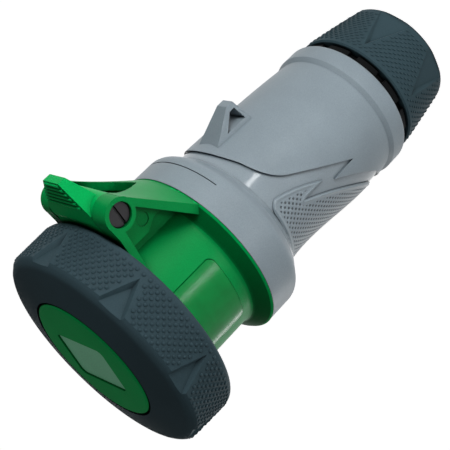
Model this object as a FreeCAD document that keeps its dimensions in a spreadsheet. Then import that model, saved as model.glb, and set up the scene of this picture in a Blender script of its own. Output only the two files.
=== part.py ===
import FreeCAD, Part
import math
import os
import Sketcher

# Pin and sleeve connector with a hinged lid, a bayonet lock ring and a cable gland.
# It stands on the end face of its gland nut. Z runs up the axis to the lid, and X
# points to the hinge. Every length is in millimetres, every angle in degrees.

DRIVING_SIZES = {
    # Lengths along the axis, from the cable end up to the lid.
    "nut_length": 43.2,
    "gland_gap": 7.2,
    "handle_length": 139.8,
    "barrel_reach": 77.7,
    "lid_stand": 9.5,
    # Handle: collar, shoulder, waisted neck and tail.
    "collar_radius": 55.2,
    "collar_length": 17.3,
    "collar_wall": 3.8,
    "shoulder_length": 18.2,
    "shoulder_radius": 40.5,
    "shoulder_round": 7.5,
    "shoulder_round_length": 5.3,
    "shoulder_round_drop": 2.2,
    "patch_drop": 15.0,
    "patch_angle": 35.0,
    "patch_groove": 0.6,
    "neck_start_drop": 26.0,
    "neck_start_radius": 43.9,
    "neck_start_shift": 2.5,
    "waist_drop": 57.8,
    "waist_radius": 42.2,
    "waist_shift": 3.5,
    "grip_drop": 91.8,
    "grip_radius": 43.1,
    "grip_shift": 1.0,
    "tail_drop": 127.1,
    "tail_radius": 41.3,
    "handle_wall": 3.2,
    "hood_step": 1.3,
    "hood_front_drop": 27.0,
    "hood_front_height": 60.0,
    "hood_corner_drop": 38.6,
    "hood_corner_height": 39.9,
    "hood_bend_drop": 54.6,
    "hood_bend_height": 21.3,
    "hood_bend_round": 29.1,
    "hood_tip_drop": 94.5,
    "hood_tip_height": 0.8,
    "hood_notch_drop": 77.4,
    "hood_notch_depth": 0.5,
    "hood_heel_drop": 108.0,
    "hood_heel_depth": 20.5,
    "hood_heel_round": 150.0,
    "hood_end_drop": 122.0,
    "hood_end_depth": 44.0,
    "hood_end_round": 40.0,
    "pad_step": 0.7,
    "pad_front_drop": 32.0,
    "pad_front_height": 12.5,
    "pad_corner_round": 6.5,
    "pad_top_drop": 38.0,
    "pad_top_height": 17.9,
    "pad_top_round": 108.0,
    "pad_tip_drop": 70.2,
    "pad_tip_height": 4.6,
    "pad_notch_drop": 53.6,
    "pad_notch_height": 4.1,
    "pad_heel_drop": 105.9,
    "pad_heel_depth": 28.0,
    "pad_heel_round": 205.0,
    "pad_end_drop": 113.0,
    "pad_end_depth": 42.0,
    "pad_end_round": 30.0,
    "bead_radius": 44.7,
    "bead_length": 12.0,
    "bead_ramp": 3.0,
    "bead_round": 2.2,
    "gland_seat_depth": 16.4,
    "gland_seat_radius": 33.9,
    # Hanging eye on the hood.
    "eye_front_drop": 40.5,
    "eye_top_drop": 60.1,
    "eye_top_length": 5.3,
    "eye_back_run": 3.1,
    "eye_height": 59.6,
    "eye_foot_height": 47.0,
    "eye_top_width": 8.0,
    "eye_foot_width": 16.4,
    "eye_rim": 3.2,
    "eye_hole_drop": 50.6,
    "eye_hole_floor": 48.4,
    "eye_hole_length": 15.2,
    # Front housing: skirt, flange, barrel and spigot.
    "skirt_length": 16.3,
    "skirt_wall": 3.1,
    "skirt_clearance": 0.2,
    "seal_groove_depth": 1.6,
    "seal_groove_width": 3.0,
    "seal_groove_drop": 8.8,
    "flange_radius": 55.4,
    "flange_rim_height": 0.3,
    "flange_front_height": 5.4,
    "flange_chamfer": 1.0,
    "barrel_radius": 45.3,
    "barrel_foot_round": 4.5,
    "barrel_foot_width": 2.5,
    "barrel_foot_height": 3.5,
    "barrel_top_drop": 29.0,
    "spigot_radius": 43.3,
    "socket_radius": 41.0,
    "keyway_width": 7.6,
    "keyway_depth": 3.3,
    "keyway_length": 49.0,
    "key_rib_width": 11.0,
    "key_rib_height": 3.0,
    # Bayonet lugs on the spigot and in the ring.
    "lug_angle_near": 58.0,
    "lug_angle_far": 112.0,
    "lug_span": 14.0,
    "lug_reach": 6.9,
    "lug_height": 4.0,
    "lug_drop": 3.5,
    "lug_play": 0.5,
    "unlock_turn": 27.0,
    # Marking plate on the barrel.
    "plate_width": 43.4,
    "plate_length": 36.0,
    "plate_foot_drop": 63.7,
    "plate_corner": 4.0,
    "plate_thickness": 1.2,
    "plate_proud": 0.3,
    "plate_gap": 0.25,
    # Hinge: pin, bosses, arms and the slot for the thumb lever.
    "pin_reach": 73.0,
    "pin_drop": 35.7,
    "pin_radius": 3.0,
    "pin_head_radius": 6.5,
    "pin_head_length": 3.0,
    "pin_head_sunk": 1.5,
    "pin_slot_width": 1.6,
    "pin_slot_depth": 1.2,
    "pin_slot_angle": 20.0,
    "boss_radius": 9.6,
    "boss_width_near": 11.65,
    "boss_width_far": 7.65,
    "head_clearance": 0.5,
    "pin_end_wall": 2.5,
    "pin_end_play": 0.5,
    "arm_roof_top": 8.44,
    "arm_roof_drop": 4.8,
    "arm_roof_thickness": 6.0,
    "arm_strut_low": 2.6,
    "arm_strut_root": 6.7,
    "arm_strut_bend": 7.6,
    "arm_strut_bend_reach": 62.0,
    "arm_web_half_gap": 14.9,
    "arm_web_thickness": 3.0,
    "arm_pad_thickness": 3.15,
    "arm_pad_reach": 51.8,
    "arm_pad_drop": 20.7,
    "arm_pad_corner_reach": 46.9,
    "arm_pad_corner_drop": 13.5,
    "arm_mark_radius": 4.0,
    "arm_mark_depth": 0.4,
    "arm_mark_reach": 55.5,
    "arm_mark_drop": 14.3,
    "lever_slot_length": 32.3,
    "lever_slot_half_width": 15.5,
    "lever_slot_start": 12.0,
    "lever_slot_round": 46.0,
    "lever_sweep_radius": 25.9,
    "lever_sweep_half_width": 8.3,
    "lever_sweep_angle": 128.0,
    # Lid.
    "lid_disc_radius": 40.2,
    "lid_disc_chamfer": 1.6,
    "lid_plate": 4.3,
    "lid_flange_radius": 48.9,
    "lid_flange_height": 4.0,
    "lid_plug_width": 2.6,
    "lid_skirt_radius": 44.0,
    "lid_skirt_wall": 3.2,
    "lid_skirt_width": 34.0,
    "lid_root_radius": 52.4,
    "lid_root_height": 14.8,
    "lid_arm_thickness": 4.3,
    "lid_arm_rise": 3.8,
    "barrel_clearance": 0.6,
    "knuckle_radius": 9.3,
    "knuckle_width": 40.7,
    "knuckle_gap": 0.3,
    "lever_length": 23.5,
    "lever_tip_width": 14.4,
    "lever_tip_thickness": 5.2,
    "lever_root_length": 4.0,
    "lever_rib_count": 6,
    "lever_rib_pitch": 2.6,
    "lever_rib_radius": 0.9,
    "lever_rib_start": 1.82,
    "window_width": 42.9,
    "window_height": 31.4,
    "window_shift_x": 2.5,
    "window_shift_y": 2.8,
    "window_corner": 4.0,
    "window_sunk": 1.0,
    "window_thickness": 1.2,
    "window_gap": 0.2,
    "running_gap": 0.08,
    # Lock ring with its facets, core pockets and snap ring.
    "ring_radius": 68.3,
    "ring_front_radius": 67.7,
    "ring_depth": 36.5,
    "ring_front_round": 9.5,
    "ring_front_length": 8.6,
    "ring_face_radius": 61.5,
    "ring_face_drop": 4.7,
    "ring_lip_drop": 0.6,
    "ring_back_round": 3.0,
    "ring_lip": 4.0,
    "ring_lip_gap": 1.4,
    "ring_flange_gap": 0.4,
    "ring_bore_gap": 0.7,
    "ring_rear_bore": 53.2,
    "facet_count": 8,
    "facet_width": 21.8,
    "facet_reach": 23.1,
    "facet_run_out": 1.0,
    "facet_wall_height": 3.0,
    "facet_wall_angle": 45.0,
    "facet_depth": 2.0,
    "core_count": 16,
    "core_inner_radius": 56.5,
    "core_outer_radius": 64.0,
    "core_depth": 22.0,
    "core_span": 18.0,
    "snap_ring_thickness": 1.6,
    "snap_ring_width": 4.1,
    "snap_groove_depth": 1.3,
    "snap_play": 0.2,
    # Seals.
    "lid_seal_width": 4.0,
    "lid_seal_depth": 1.8,
    "lid_seal_proud": 0.9,
    "shroud_seal_height": 2.0,
    "seal_gap": 0.1,
    # Contact carrier and contacts.
    "insert_radius": 35.5,
    "insert_sunk": 2.1,
    "carrier_base_height": 13.7,
    "carrier_flange_height": 5.0,
    "carrier_gap": 0.3,
    "back_plate_height": 3.0,
    "contact_circle": 20.0,
    "earth_angle": 60.0,
    "phase_bore": 4.03,
    "earth_bore": 5.03,
    "pilot_bore": 2.03,
    "sleeve_wall": 1.7,
    "sleeve_sunk": 6.0,
    "sleeve_bore_depth": 40.0,
    "sleeve_slit": 0.8,
    "sleeve_slit_length": 26.0,
    "entry_gap": 0.7,
    "entry_depth": 5.0,
    "contact_collar": 1.2,
    "contact_collar_height": 4.0,
    "contact_head": 0.45,
    "contact_head_length": 25.0,
    "wire_hole_depth": 16.0,
    "wire_hole_share": 0.56,
    "terminal_screw_radius": 2.0,
    "terminal_screw_length": 4.4,
    "terminal_screw_pitch": 8.0,
    "spring_ring_height": 4.0,
    "spring_ring_wall": 0.7,
    "spring_ring_drop": 7.0,
    "carrier_screw_radius": 1.4,
    "carrier_screw_head": 2.8,
    "carrier_screw_head_height": 2.2,
    "carrier_screw_length": 16.0,
    "carrier_screw_circle": 43.5,
    "carrier_screw_count": 4,
    "carrier_screw_angle": 45.0,
    # Closing spring on the hinge pin.
    "spring_wire": 0.8,
    "spring_coil": 4.5,
    "spring_pitch": 3.0,
    "spring_length": 15.0,
    "spring_pocket": 6.2,
    "spring_pocket_width": 18.4,
    # Cable gland.
    "nut_top_radius": 42.4,
    "nut_waist_radius": 37.0,
    "nut_end_radius": 33.6,
    "nut_end_length": 3.2,
    "nut_end_round": 3.6,
    "nut_top_chamfer": 1.0,
    "nut_facet_count": 6,
    "nut_facet_width": 25.4,
    "nut_facet_top": 12.8,
    "nut_facet_run_out": 2.0,
    "nut_facet_depth": 2.0,
    "nut_turn": 30.5,
    "cable_radius": 19.0,
    "nut_lip": 5.5,
    "nut_cone_radius": 24.2,
    "nut_cone_top": 15.0,
    "thread_radius": 31.2,
    "thread_gap": 0.5,
    "gland_flange_radius": 40.3,
    "gland_flange_gap": 1.0,
    "gland_stem_length": 24.9,
    "grommet_radius": 22.3,
    "grommet_length": 20.0,
    "grommet_bore": 14.5,
    "notch_count": 12,
    "notch_width": 6.0,
    "notch_depth": 2.6,
    "notch_height": 3.6,
    "cage_finger_count": 12,
    "cage_slit": 1.6,
    "cage_flange_height": 3.0,
}

doc = FreeCAD.newDocument("PinAndSleeveConnector")
sheet = doc.addObject("Spreadsheet::Sheet", "sizes")
for row, (name, number) in enumerate(DRIVING_SIZES.items(), start=1):
    sheet.set(f"A{row}", name)
    sheet.set(f"B{row}", str(number))
    sheet.setAlias(f"B{row}", name)
doc.recompute()


class Size:
    """A number together with the formula that gives it from the sheet."""

    def __init__(self, value, formula):
        self.value = value
        self.formula = formula

    def __add__(self, other):
        other = as_size(other)
        return Size(self.value + other.value, f"({self.formula} + {other.formula})")

    def __sub__(self, other):
        other = as_size(other)
        return Size(self.value - other.value, f"({self.formula} - {other.formula})")

    def __mul__(self, other):
        other = as_size(other)
        return Size(self.value * other.value, f"({self.formula} * {other.formula})")

    def __truediv__(self, other):
        other = as_size(other)
        return Size(self.value / other.value, f"({self.formula} / {other.formula})")

    def __neg__(self):
        return Size(-self.value, f"(0 - {self.formula})")


def as_size(number):
    if isinstance(number, Size):
        return number
    return Size(float(number), repr(float(number)))


def cosine(angle):
    angle = as_size(angle)
    return Size(math.cos(math.radians(angle.value)), f"cos({angle.formula} * 1 deg)")


def sine(angle):
    angle = as_size(angle)
    return Size(math.sin(math.radians(angle.value)), f"sin({angle.formula} * 1 deg)")


def root(number):
    number = as_size(number)
    return Size(math.sqrt(number.value), f"sqrt({number.formula})")


class Sizes:
    """The driving sizes by name, such as d.nut_length."""


d = Sizes()
for name, number in DRIVING_SIZES.items():
    setattr(d, name, Size(float(number), f"sizes.{name}"))

ZERO = as_size(0)
FULL_TURN = 360
OVERCUT = 1
RING_CONTACTS = 5
HALF = 0.5
Z_AXIS = FreeCAD.Vector(0, 0, 1)
Y_AXIS = FreeCAD.Vector(0, 1, 0)
X_AXIS = FreeCAD.Vector(1, 0, 0)
ORIGIN = FreeCAD.Vector(0, 0, 0)
PLANE_TURN = {
    "XY": FreeCAD.Rotation(),
    "XZ": FreeCAD.Rotation(X_AXIS, 90),
    "YZ": FreeCAD.Rotation(FreeCAD.Vector(1, 1, 1), 120),
}
OFFSET_AXIS = {"XY": "z", "XZ": "y", "YZ": "x"}
BODY_PLANES = {"XY": "XY_Plane", "XZ": "XZ_Plane", "YZ": "YZ_Plane"}

# Heights up the axis that several pieces share.
handle_rear = d.nut_length + d.gland_gap
handle_front = handle_rear + d.handle_length
mouth = handle_front + d.barrel_reach
lid_face = mouth + d.lid_stand
pin_height = mouth - d.pin_drop
ring_back = lid_face - d.ring_depth
lid_flange_top = lid_face - d.lid_plate
lid_flange_bottom = lid_flange_top - d.lid_flange_height
lug_top = mouth - d.lug_drop
lug_bottom = lug_top - d.lug_height
ring_lug_top = lug_bottom - d.lug_play
ring_lug_bottom = ring_lug_top - d.lug_height
lug_radius = d.spigot_radius + d.lug_reach
ring_bore = lug_radius + d.ring_bore_gap
skirt_outer = d.lid_skirt_radius + d.lid_skirt_wall
half_knuckle = d.knuckle_width / 2
boss_inner = half_knuckle + d.knuckle_gap
boss_outer_near = boss_inner + d.boss_width_near
boss_outer_far = boss_inner + d.boss_width_far
carrier_bottom = handle_front - d.carrier_flange_height
back_plate_bottom = carrier_bottom - d.back_plate_height
stem_bottom = d.nut_length - d.gland_stem_length
insert_bottom = handle_front + d.carrier_base_height
face_top = mouth - d.insert_sunk
face_bottom = face_top - d.entry_depth
chamber_widening = d.sleeve_wall + d.contact_collar + d.seal_gap
nodes = []


def bind(thing, bindings):
    """Ties properties to the sheet."""
    for prop, size in bindings.items():
        thing.setExpression(prop, as_size(size).formula)
    return thing


def keep(thing, name):
    """Names a finished piece and puts it on the list for export."""
    thing.Label = name
    nodes.append(thing)
    return thing


def add_outline(sketch, points):
    """Closed outline. A point is (across, up), or (across, up, radius) where the
    edge to the next point is an arc, with its centre on the left if radius > 0."""
    points = [tuple(as_size(part) for part in point) for point in points]
    ends = []
    first = sketch.GeometryCount
    for index, point in enumerate(points):
        following = points[(index + 1) % len(points)]
        start = FreeCAD.Vector(point[0].value, point[1].value, 0)
        end = FreeCAD.Vector(following[0].value, following[1].value, 0)
        if len(point) == 2:
            sketch.addGeometry(Part.LineSegment(start, end), False)
            ends.append((1, 2))
            continue
        radius = abs(point[2].value)
        to_left = point[2].value > 0
        chord = end - start
        across = FreeCAD.Vector(-chord.y, chord.x, 0).normalize()
        away = math.sqrt(max(radius * radius - chord.Length * chord.Length / 4, 0))
        centre = start + chord * 0.5 + across * (away if to_left else -away)
        turn = Part.Circle(centre, Z_AXIS, radius)
        spin_from = math.atan2(start.y - centre.y, start.x - centre.x)
        spin_to = math.atan2(end.y - centre.y, end.x - centre.x)
        if to_left:
            sketch.addGeometry(Part.ArcOfCircle(turn, spin_from, spin_to), False)
            ends.append((1, 2))
        else:
            sketch.addGeometry(Part.ArcOfCircle(turn, spin_to, spin_from), False)
            ends.append((2, 1))
    for index in range(len(points)):
        following = (index + 1) % len(points)
        sketch.addConstraint(Sketcher.Constraint(
            "Coincident", first + index, ends[index][1], first + following, ends[following][0]))
    for index, point in enumerate(points):
        for kind, size in (("DistanceX", point[0]), ("DistanceY", point[1])):
            tie = sketch.addConstraint(Sketcher.Constraint(
                kind, -1, 1, first + index, ends[index][0], size.value))
            if size.formula != repr(size.value):
                sketch.setExpression(f"Constraints[{tie}]", size.formula)
        if len(point) == 3:
            radius = point[2] if point[2].value > 0 else -point[2]
            tie = sketch.addConstraint(Sketcher.Constraint("Radius", first + index, radius.value))
            sketch.setExpression(f"Constraints[{tie}]", radius.formula)


def add_circle(sketch, x, y, radius):
    centre = FreeCAD.Vector(as_size(x).value, as_size(y).value, 0)
    number = sketch.addGeometry(Part.Circle(centre, Z_AXIS, as_size(radius).value), False)
    ties = (("DistanceX", as_size(x), (-1, 1, number, 3)),
            ("DistanceY", as_size(y), (-1, 1, number, 3)),
            ("Radius", as_size(radius), (number,)))
    for kind, size, where in ties:
        tie = sketch.addConstraint(Sketcher.Constraint(kind, *where, size.value))
        if size.formula != repr(size.value):
            sketch.setExpression(f"Constraints[{tie}]", size.formula)


def free_sketch(name, plane, points, offset=None):
    """Sketch that belongs to no body, on a plane through the origin or beside it."""
    sketch = doc.addObject("Sketcher::SketchObject", name)
    sketch.Placement = FreeCAD.Placement(ORIGIN, PLANE_TURN[plane])
    if offset is not None:
        bind(sketch, {f"Placement.Base.{OFFSET_AXIS[plane]}": offset})
    add_outline(sketch, points)
    return sketch


def turned(name, points):
    """Solid of revolution about the Z axis from points (radius, height)."""
    shape = doc.addObject("Part::Revolution", name)
    shape.Source = free_sketch(name + "_outline", "XZ", points)
    shape.Axis = Z_AXIS
    shape.Base = ORIGIN
    shape.Angle = FULL_TURN
    shape.Solid = True
    return shape


def prism(name, plane, points, start, length):
    """Straight prism on an outline, from start along the plane's axis."""
    directions = {"XY": Z_AXIS, "XZ": Y_AXIS, "YZ": X_AXIS}
    shape = doc.addObject("Part::Extrusion", name)
    shape.Base = free_sketch(name + "_outline", plane, points, start)
    shape.DirMode = "Custom"
    shape.Dir = directions[plane]
    shape.Solid = True
    bind(shape, {"LengthFwd": length})
    return shape


def cylinder(name, radius, height, start=ZERO, axis="Z", x=ZERO, y=ZERO, z=ZERO):
    """Cylinder along an axis from start; x, y, z move its axis."""
    shape = doc.addObject("Part::Cylinder", name)
    if axis == "Y":
        shape.Placement = FreeCAD.Placement(ORIGIN, FreeCAD.Rotation(X_AXIS, -90))
        y = start
    else:
        z = start
    bind(shape, {
        "Radius": radius,
        "Height": height,
        "Placement.Base.x": x,
        "Placement.Base.y": y,
        "Placement.Base.z": z,
    })
    return shape


def box(name, low, high):
    """Box between two corners, each a list of three sizes."""
    low = [as_size(part) for part in low]
    high = [as_size(part) for part in high]
    shape = doc.addObject("Part::Box", name)
    bind(shape, {
        "Length": high[0] - low[0],
        "Width": high[1] - low[1],
        "Height": high[2] - low[2],
        "Placement.Base.x": low[0],
        "Placement.Base.y": low[1],
        "Placement.Base.z": low[2],
    })
    return shape


def fuse(name, *shapes):
    joined = doc.addObject("Part::MultiFuse", name)
    joined.Shapes = list(shapes)
    joined.Refine = True
    return joined


def common(name, *shapes):
    shared = doc.addObject("Part::MultiCommon", name)
    shared.Shapes = list(shapes)
    return shared


def cut(name, base, *tools):
    tool = tools[0] if len(tools) == 1 else fuse(name + "_tools", *tools)
    left = doc.addObject("Part::Cut", name)
    left.Base = base
    left.Tool = tool
    left.Refine = True
    return left


def group(name, shapes):
    """Several separate solids in one piece of the list."""
    bundle = doc.addObject("Part::Compound", name)
    bundle.Links = list(shapes)
    return bundle


def tube(name, outer, inner, height, start, x=ZERO, y=ZERO):
    wall = cylinder(name + "_wall", outer, height, start, "Z", x, y)
    hole = cylinder(name + "_hole", inner, height + 2 * OVERCUT, start - OVERCUT, "Z", x, y)
    return cut(name, wall, hole)


def sector_outline(inner, outer, middle, span):
    """Outline of a piece of a ring between two radii."""
    begin = as_size(middle) - as_size(span) / 2
    finish = as_size(middle) + as_size(span) / 2
    return [
        (inner * cosine(begin), inner * sine(begin)),
        (outer * cosine(begin), outer * sine(begin), outer),
        (outer * cosine(finish), outer * sine(finish)),
        (inner * cosine(finish), inner * sine(finish), -inner),
    ]


def rounded_rectangle(left, right, low, high, corner):
    return [
        (left + corner, low),
        (right - corner, low, corner),
        (right, low + corner),
        (right, high - corner, corner),
        (right - corner, high),
        (left + corner, high, corner),
        (left, high - corner),
        (left, low + corner, corner),
    ]


def new_body(name):
    return doc.addObject("PartDesign::Body", name)


def origin_item(body, role):
    for item in body.Origin.OriginFeatures:
        if item.Role == role:
            return item
    raise LookupError(role)


def body_sketch(body, name, plane, offset=None):
    sketch = body.newObject("Sketcher::SketchObject", name)
    sketch.AttachmentSupport = [(origin_item(body, BODY_PLANES[plane]), "")]
    sketch.MapMode = "FlatFace"
    if offset is not None:
        bind(sketch, {"AttachmentOffset.Base.z": offset})
    return sketch


def turned_body(name, points):
    """Body that starts as a solid of revolution about its Z axis."""
    body = new_body(name)
    sketch = body_sketch(body, name + "_profile", "XZ")
    add_outline(sketch, points)
    turn = body.newObject("PartDesign::Revolution", name + "_turned")
    turn.Profile = sketch
    turn.ReferenceAxis = (sketch, ["V_Axis"])
    turn.Angle = FULL_TURN
    doc.recompute()
    return body


def pocket(body, sketch, name, length=None, reverse=False, lean=None):
    """Pocket that has to remove material; its walls may lean outwards."""
    before = body.Shape.Volume
    feature = body.newObject("PartDesign::Pocket", name)
    feature.Profile = sketch
    feature.Reversed = reverse
    if length is None:
        feature.Type = "ThroughAll"
    else:
        feature.Type = "Length"
        bind(feature, {"Length": length})
    if lean is not None:
        bind(feature, {"TaperAngle": lean})
    doc.recompute()
    if body.Shape.Volume >= before:
        raise ValueError(name + " cuts nothing")
    return feature


def pad(body, sketch, name, length):
    feature = body.newObject("PartDesign::Pad", name)
    feature.Profile = sketch
    bind(feature, {"Length": length})
    doc.recompute()
    return feature


def repeat_round(body, feature, name, count):
    """Repeats a feature round the body's Z axis."""
    pattern = body.newObject("PartDesign::PolarPattern", name)
    pattern.Originals = [feature]
    pattern.Axis = (origin_item(body, "Z_Axis"), [""])
    pattern.Angle = FULL_TURN
    bind(pattern, {"Occurrences": count})
    body.Tip = pattern
    doc.recompute()
    return pattern


def neck_loft(name, grow, tail_drop):
    """Waisted neck: circles of four stations, each shifted towards the hinge side."""
    stations = (
        (d.neck_start_drop, d.neck_start_radius, d.neck_start_shift),
        (d.waist_drop, d.waist_radius, d.waist_shift),
        (d.grip_drop, d.grip_radius, d.grip_shift),
        (tail_drop, d.tail_radius, ZERO),
    )
    circles = []
    for number, (drop, radius, shift) in enumerate(stations):
        circle = doc.addObject("Part::Circle", f"{name}_station_{number}")
        bind(circle, {
            "Radius": radius + grow,
            "Placement.Base.x": shift,
            "Placement.Base.z": handle_front - drop,
        })
        circles.append(circle)
    loft = doc.addObject("Part::Loft", name)
    loft.Sections = circles
    loft.Solid = True
    loft.Ruled = False
    return loft


def hanging_eye():
    """Wedge with a triangular hole, widest at its foot on the hood."""
    reach = d.collar_radius * 2
    side = prism("eye_side", "XZ", [
        (d.eye_foot_height - d.handle_wall, handle_front - d.eye_front_drop + d.handle_wall),
        (d.eye_foot_height, handle_front - d.eye_front_drop),
        (d.eye_height, handle_front - d.eye_top_drop),
        (d.eye_height, handle_front - d.eye_top_drop - d.eye_top_length),
        (d.eye_foot_height, handle_front - d.eye_top_drop - d.eye_top_length - d.eye_back_run),
        (d.eye_foot_height - d.handle_wall,
         handle_front - d.eye_top_drop - d.eye_top_length - d.eye_back_run),
    ], -d.collar_radius, reach)
    slope = (d.eye_foot_width - d.eye_top_width) / 2 / (d.eye_height - d.eye_foot_height)
    base = d.eye_foot_width / 2 + slope * d.handle_wall
    front = prism("eye_front", "XY", [
        (d.eye_foot_height - d.handle_wall, -base),
        (d.eye_height, -(d.eye_top_width / 2)),
        (d.eye_height, d.eye_top_width / 2),
        (d.eye_foot_height - d.handle_wall, base),
    ], handle_rear, d.handle_length)
    hole_back = handle_front - d.eye_hole_drop - d.eye_hole_length
    hole_top = d.eye_height - d.eye_rim
    hole = prism("eye_hole", "XZ", [
        (d.eye_hole_floor, hole_back),
        (hole_top, handle_front - d.eye_top_drop - d.eye_top_length + d.eye_rim / 2),
        (hole_top, handle_front - d.eye_top_drop),
        (d.eye_hole_floor, handle_front - d.eye_hole_drop),
    ], -d.collar_radius, reach)
    return common("eye_wedge", side, front), hole


def handle_housing():
    """Grey handle: collar, shoulder, waisted neck with hood and grip pads, tail bead."""
    shoulder_start = handle_front - d.collar_length
    shoulder_end = shoulder_start - d.shoulder_length
    neck_start = handle_front - d.neck_start_drop
    collar = turned("handle_collar", [
        (ZERO, handle_front),
        (ZERO, shoulder_end - d.handle_wall),
        (d.shoulder_radius - d.handle_wall, shoulder_end - d.handle_wall),
        (d.shoulder_radius, shoulder_end),
        (d.collar_radius - d.shoulder_round_drop, shoulder_start - d.shoulder_round_length,
         d.shoulder_round),
        (d.collar_radius, shoulder_start),
        (d.collar_radius, handle_front),
    ])
    bead_start = handle_rear + d.bead_length
    bead = turned("handle_bead", [
        (ZERO, bead_start + d.bead_ramp),
        (ZERO, handle_rear),
        (d.bead_radius - d.bead_round, handle_rear, d.bead_round),
        (d.bead_radius, handle_rear + d.bead_round),
        (d.bead_radius, bead_start),
        (d.tail_radius + d.hood_step, bead_start + d.bead_ramp),
    ])
    far = d.collar_radius + d.collar_wall
    hood_region = prism("hood_region", "XZ", [
        (d.hood_front_height, handle_front - d.hood_front_drop),
        (d.hood_front_height, handle_rear),
        (-far, handle_rear),
        (-far, handle_front - d.hood_end_drop),
        (-d.hood_end_depth, handle_front - d.hood_end_drop, d.hood_end_round),
        (-d.hood_heel_depth, handle_front - d.hood_heel_drop, d.hood_heel_round),
        (-d.hood_notch_depth, handle_front - d.hood_notch_drop),
        (d.hood_tip_height, handle_front - d.hood_tip_drop),
        (d.hood_bend_height, handle_front - d.hood_bend_drop, -d.hood_bend_round),
        (d.hood_corner_height, handle_front - d.hood_corner_drop),
    ], -far, far * 2)
    pad_region = prism("pad_region", "XZ", [
        (-far, handle_front - d.pad_front_drop),
        (d.pad_front_height, handle_front - d.pad_front_drop, -d.pad_corner_round),
        (d.pad_top_height, handle_front - d.pad_top_drop, -d.pad_top_round),
        (d.pad_tip_height, handle_front - d.pad_tip_drop),
        (d.pad_notch_height, handle_front - d.pad_notch_drop, -d.pad_heel_round),
        (-d.pad_heel_depth, handle_front - d.pad_heel_drop, -d.pad_end_round),
        (-d.pad_end_depth, handle_front - d.pad_end_drop),
        (-far, handle_front - d.pad_end_drop),
    ], -far, far * 2)
    neck = neck_loft("neck", ZERO, d.tail_drop)
    tail_end = handle_front - d.tail_drop
    tail = turned("handle_tail", [
        (ZERO, handle_rear),
        (d.tail_radius, handle_rear),
        (d.tail_radius, tail_end),
        (ZERO, tail_end),
    ])
    hood = common("hood", neck_loft("hood_full", d.hood_step, d.tail_drop), hood_region)
    pads = common("grip_pads", neck_loft("pads_full", d.pad_step, d.tail_drop), pad_region)
    eye, eye_hole = hanging_eye()
    solid = fuse("handle_solid", collar, bead, neck, tail, hood, pads, eye)
    bore = d.collar_radius - d.collar_wall
    ledge = neck_start + d.handle_wall
    inner_ledge = d.neck_start_radius - d.handle_wall - d.neck_start_shift * 2
    collar_hollow = turned("collar_hollow", [
        (ZERO, handle_front + OVERCUT),
        (ZERO, neck_start - OVERCUT),
        (inner_ledge, neck_start - OVERCUT),
        (inner_ledge, ledge),
        (bore, handle_front - d.skirt_length - d.handle_wall),
        (bore, handle_front + OVERCUT),
    ])
    seat_start = d.handle_length - d.gland_seat_depth
    neck_hollow = neck_loft("neck_hollow", -d.handle_wall, seat_start - d.handle_wall)
    seat = cylinder("gland_seat", d.gland_seat_radius + d.seal_gap,
                    d.gland_seat_depth + d.handle_wall * 2, handle_rear - OVERCUT)
    patch_ring = turned("patch_ring", [
        (d.collar_radius - d.patch_groove, handle_front - d.patch_drop),
        (d.collar_radius + OVERCUT, handle_front - d.patch_drop),
        (d.collar_radius + OVERCUT, handle_front - d.patch_drop + d.patch_groove),
        (d.collar_radius - d.patch_groove, handle_front - d.patch_drop + d.patch_groove),
    ])
    patch_wedge = prism("patch_wedge", "XY", sector_outline(
        d.shoulder_radius, d.flange_radius * 2, ZERO, d.patch_angle * 2), handle_rear,
        d.handle_length)
    patch_groove = common("patch_line", patch_ring, patch_wedge)
    rear_room = cylinder("rear_room", d.collar_radius, d.gland_gap, handle_rear - d.gland_gap)
    return cut("handle_cut", solid, collar_hollow, neck_hollow, seat, rear_room, patch_groove,
               eye_hole)


def lug_angles():
    return (d.lug_angle_near, d.lug_angle_far, -d.lug_angle_near, -d.lug_angle_far)


def lever_slot():
    """Pointed opening in the arms' roof, into which the thumb lever swings."""
    return prism("lever_slot", "YZ", [
        (-boss_inner, pin_height),
        (-boss_inner, pin_height - d.boss_radius),
        (-d.lever_slot_half_width, pin_height - d.lever_slot_start, d.lever_slot_round),
        (ZERO, pin_height - d.lever_slot_length, d.lever_slot_round),
        (d.lever_slot_half_width, pin_height - d.lever_slot_start),
        (boss_inner, pin_height - d.boss_radius),
        (boss_inner, pin_height),
    ], d.socket_radius, d.pin_reach)


def arm_roof():
    """Sloping roof from the flange's rim up to both bosses, with the lever's slot."""
    outer = d.flange_radius - d.flange_chamfer / 2
    inner = outer - d.arm_roof_thickness
    near = boss_outer_near
    far = boss_outer_far
    low = free_sketch("roof_low", "XY", [
        (root(inner * inner - near * near), -near),
        (root(outer * outer - near * near), -near, outer),
        (root(outer * outer - far * far), far),
        (root(inner * inner - far * far), far, -inner),
    ], handle_front + d.flange_rim_height)
    top_outer = d.pin_reach + d.arm_roof_top
    high = free_sketch("roof_high", "XY", [
        (top_outer - d.arm_roof_thickness, -near),
        (top_outer, -near),
        (top_outer, far),
        (top_outer - d.arm_roof_thickness, far),
    ], pin_height - d.arm_roof_drop)
    roof = doc.addObject("Part::Loft", "roof_full")
    roof.Sections = [low, high]
    roof.Solid = True
    roof.Ruled = True
    return cut("arm_roof", roof, lever_slot())


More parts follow.
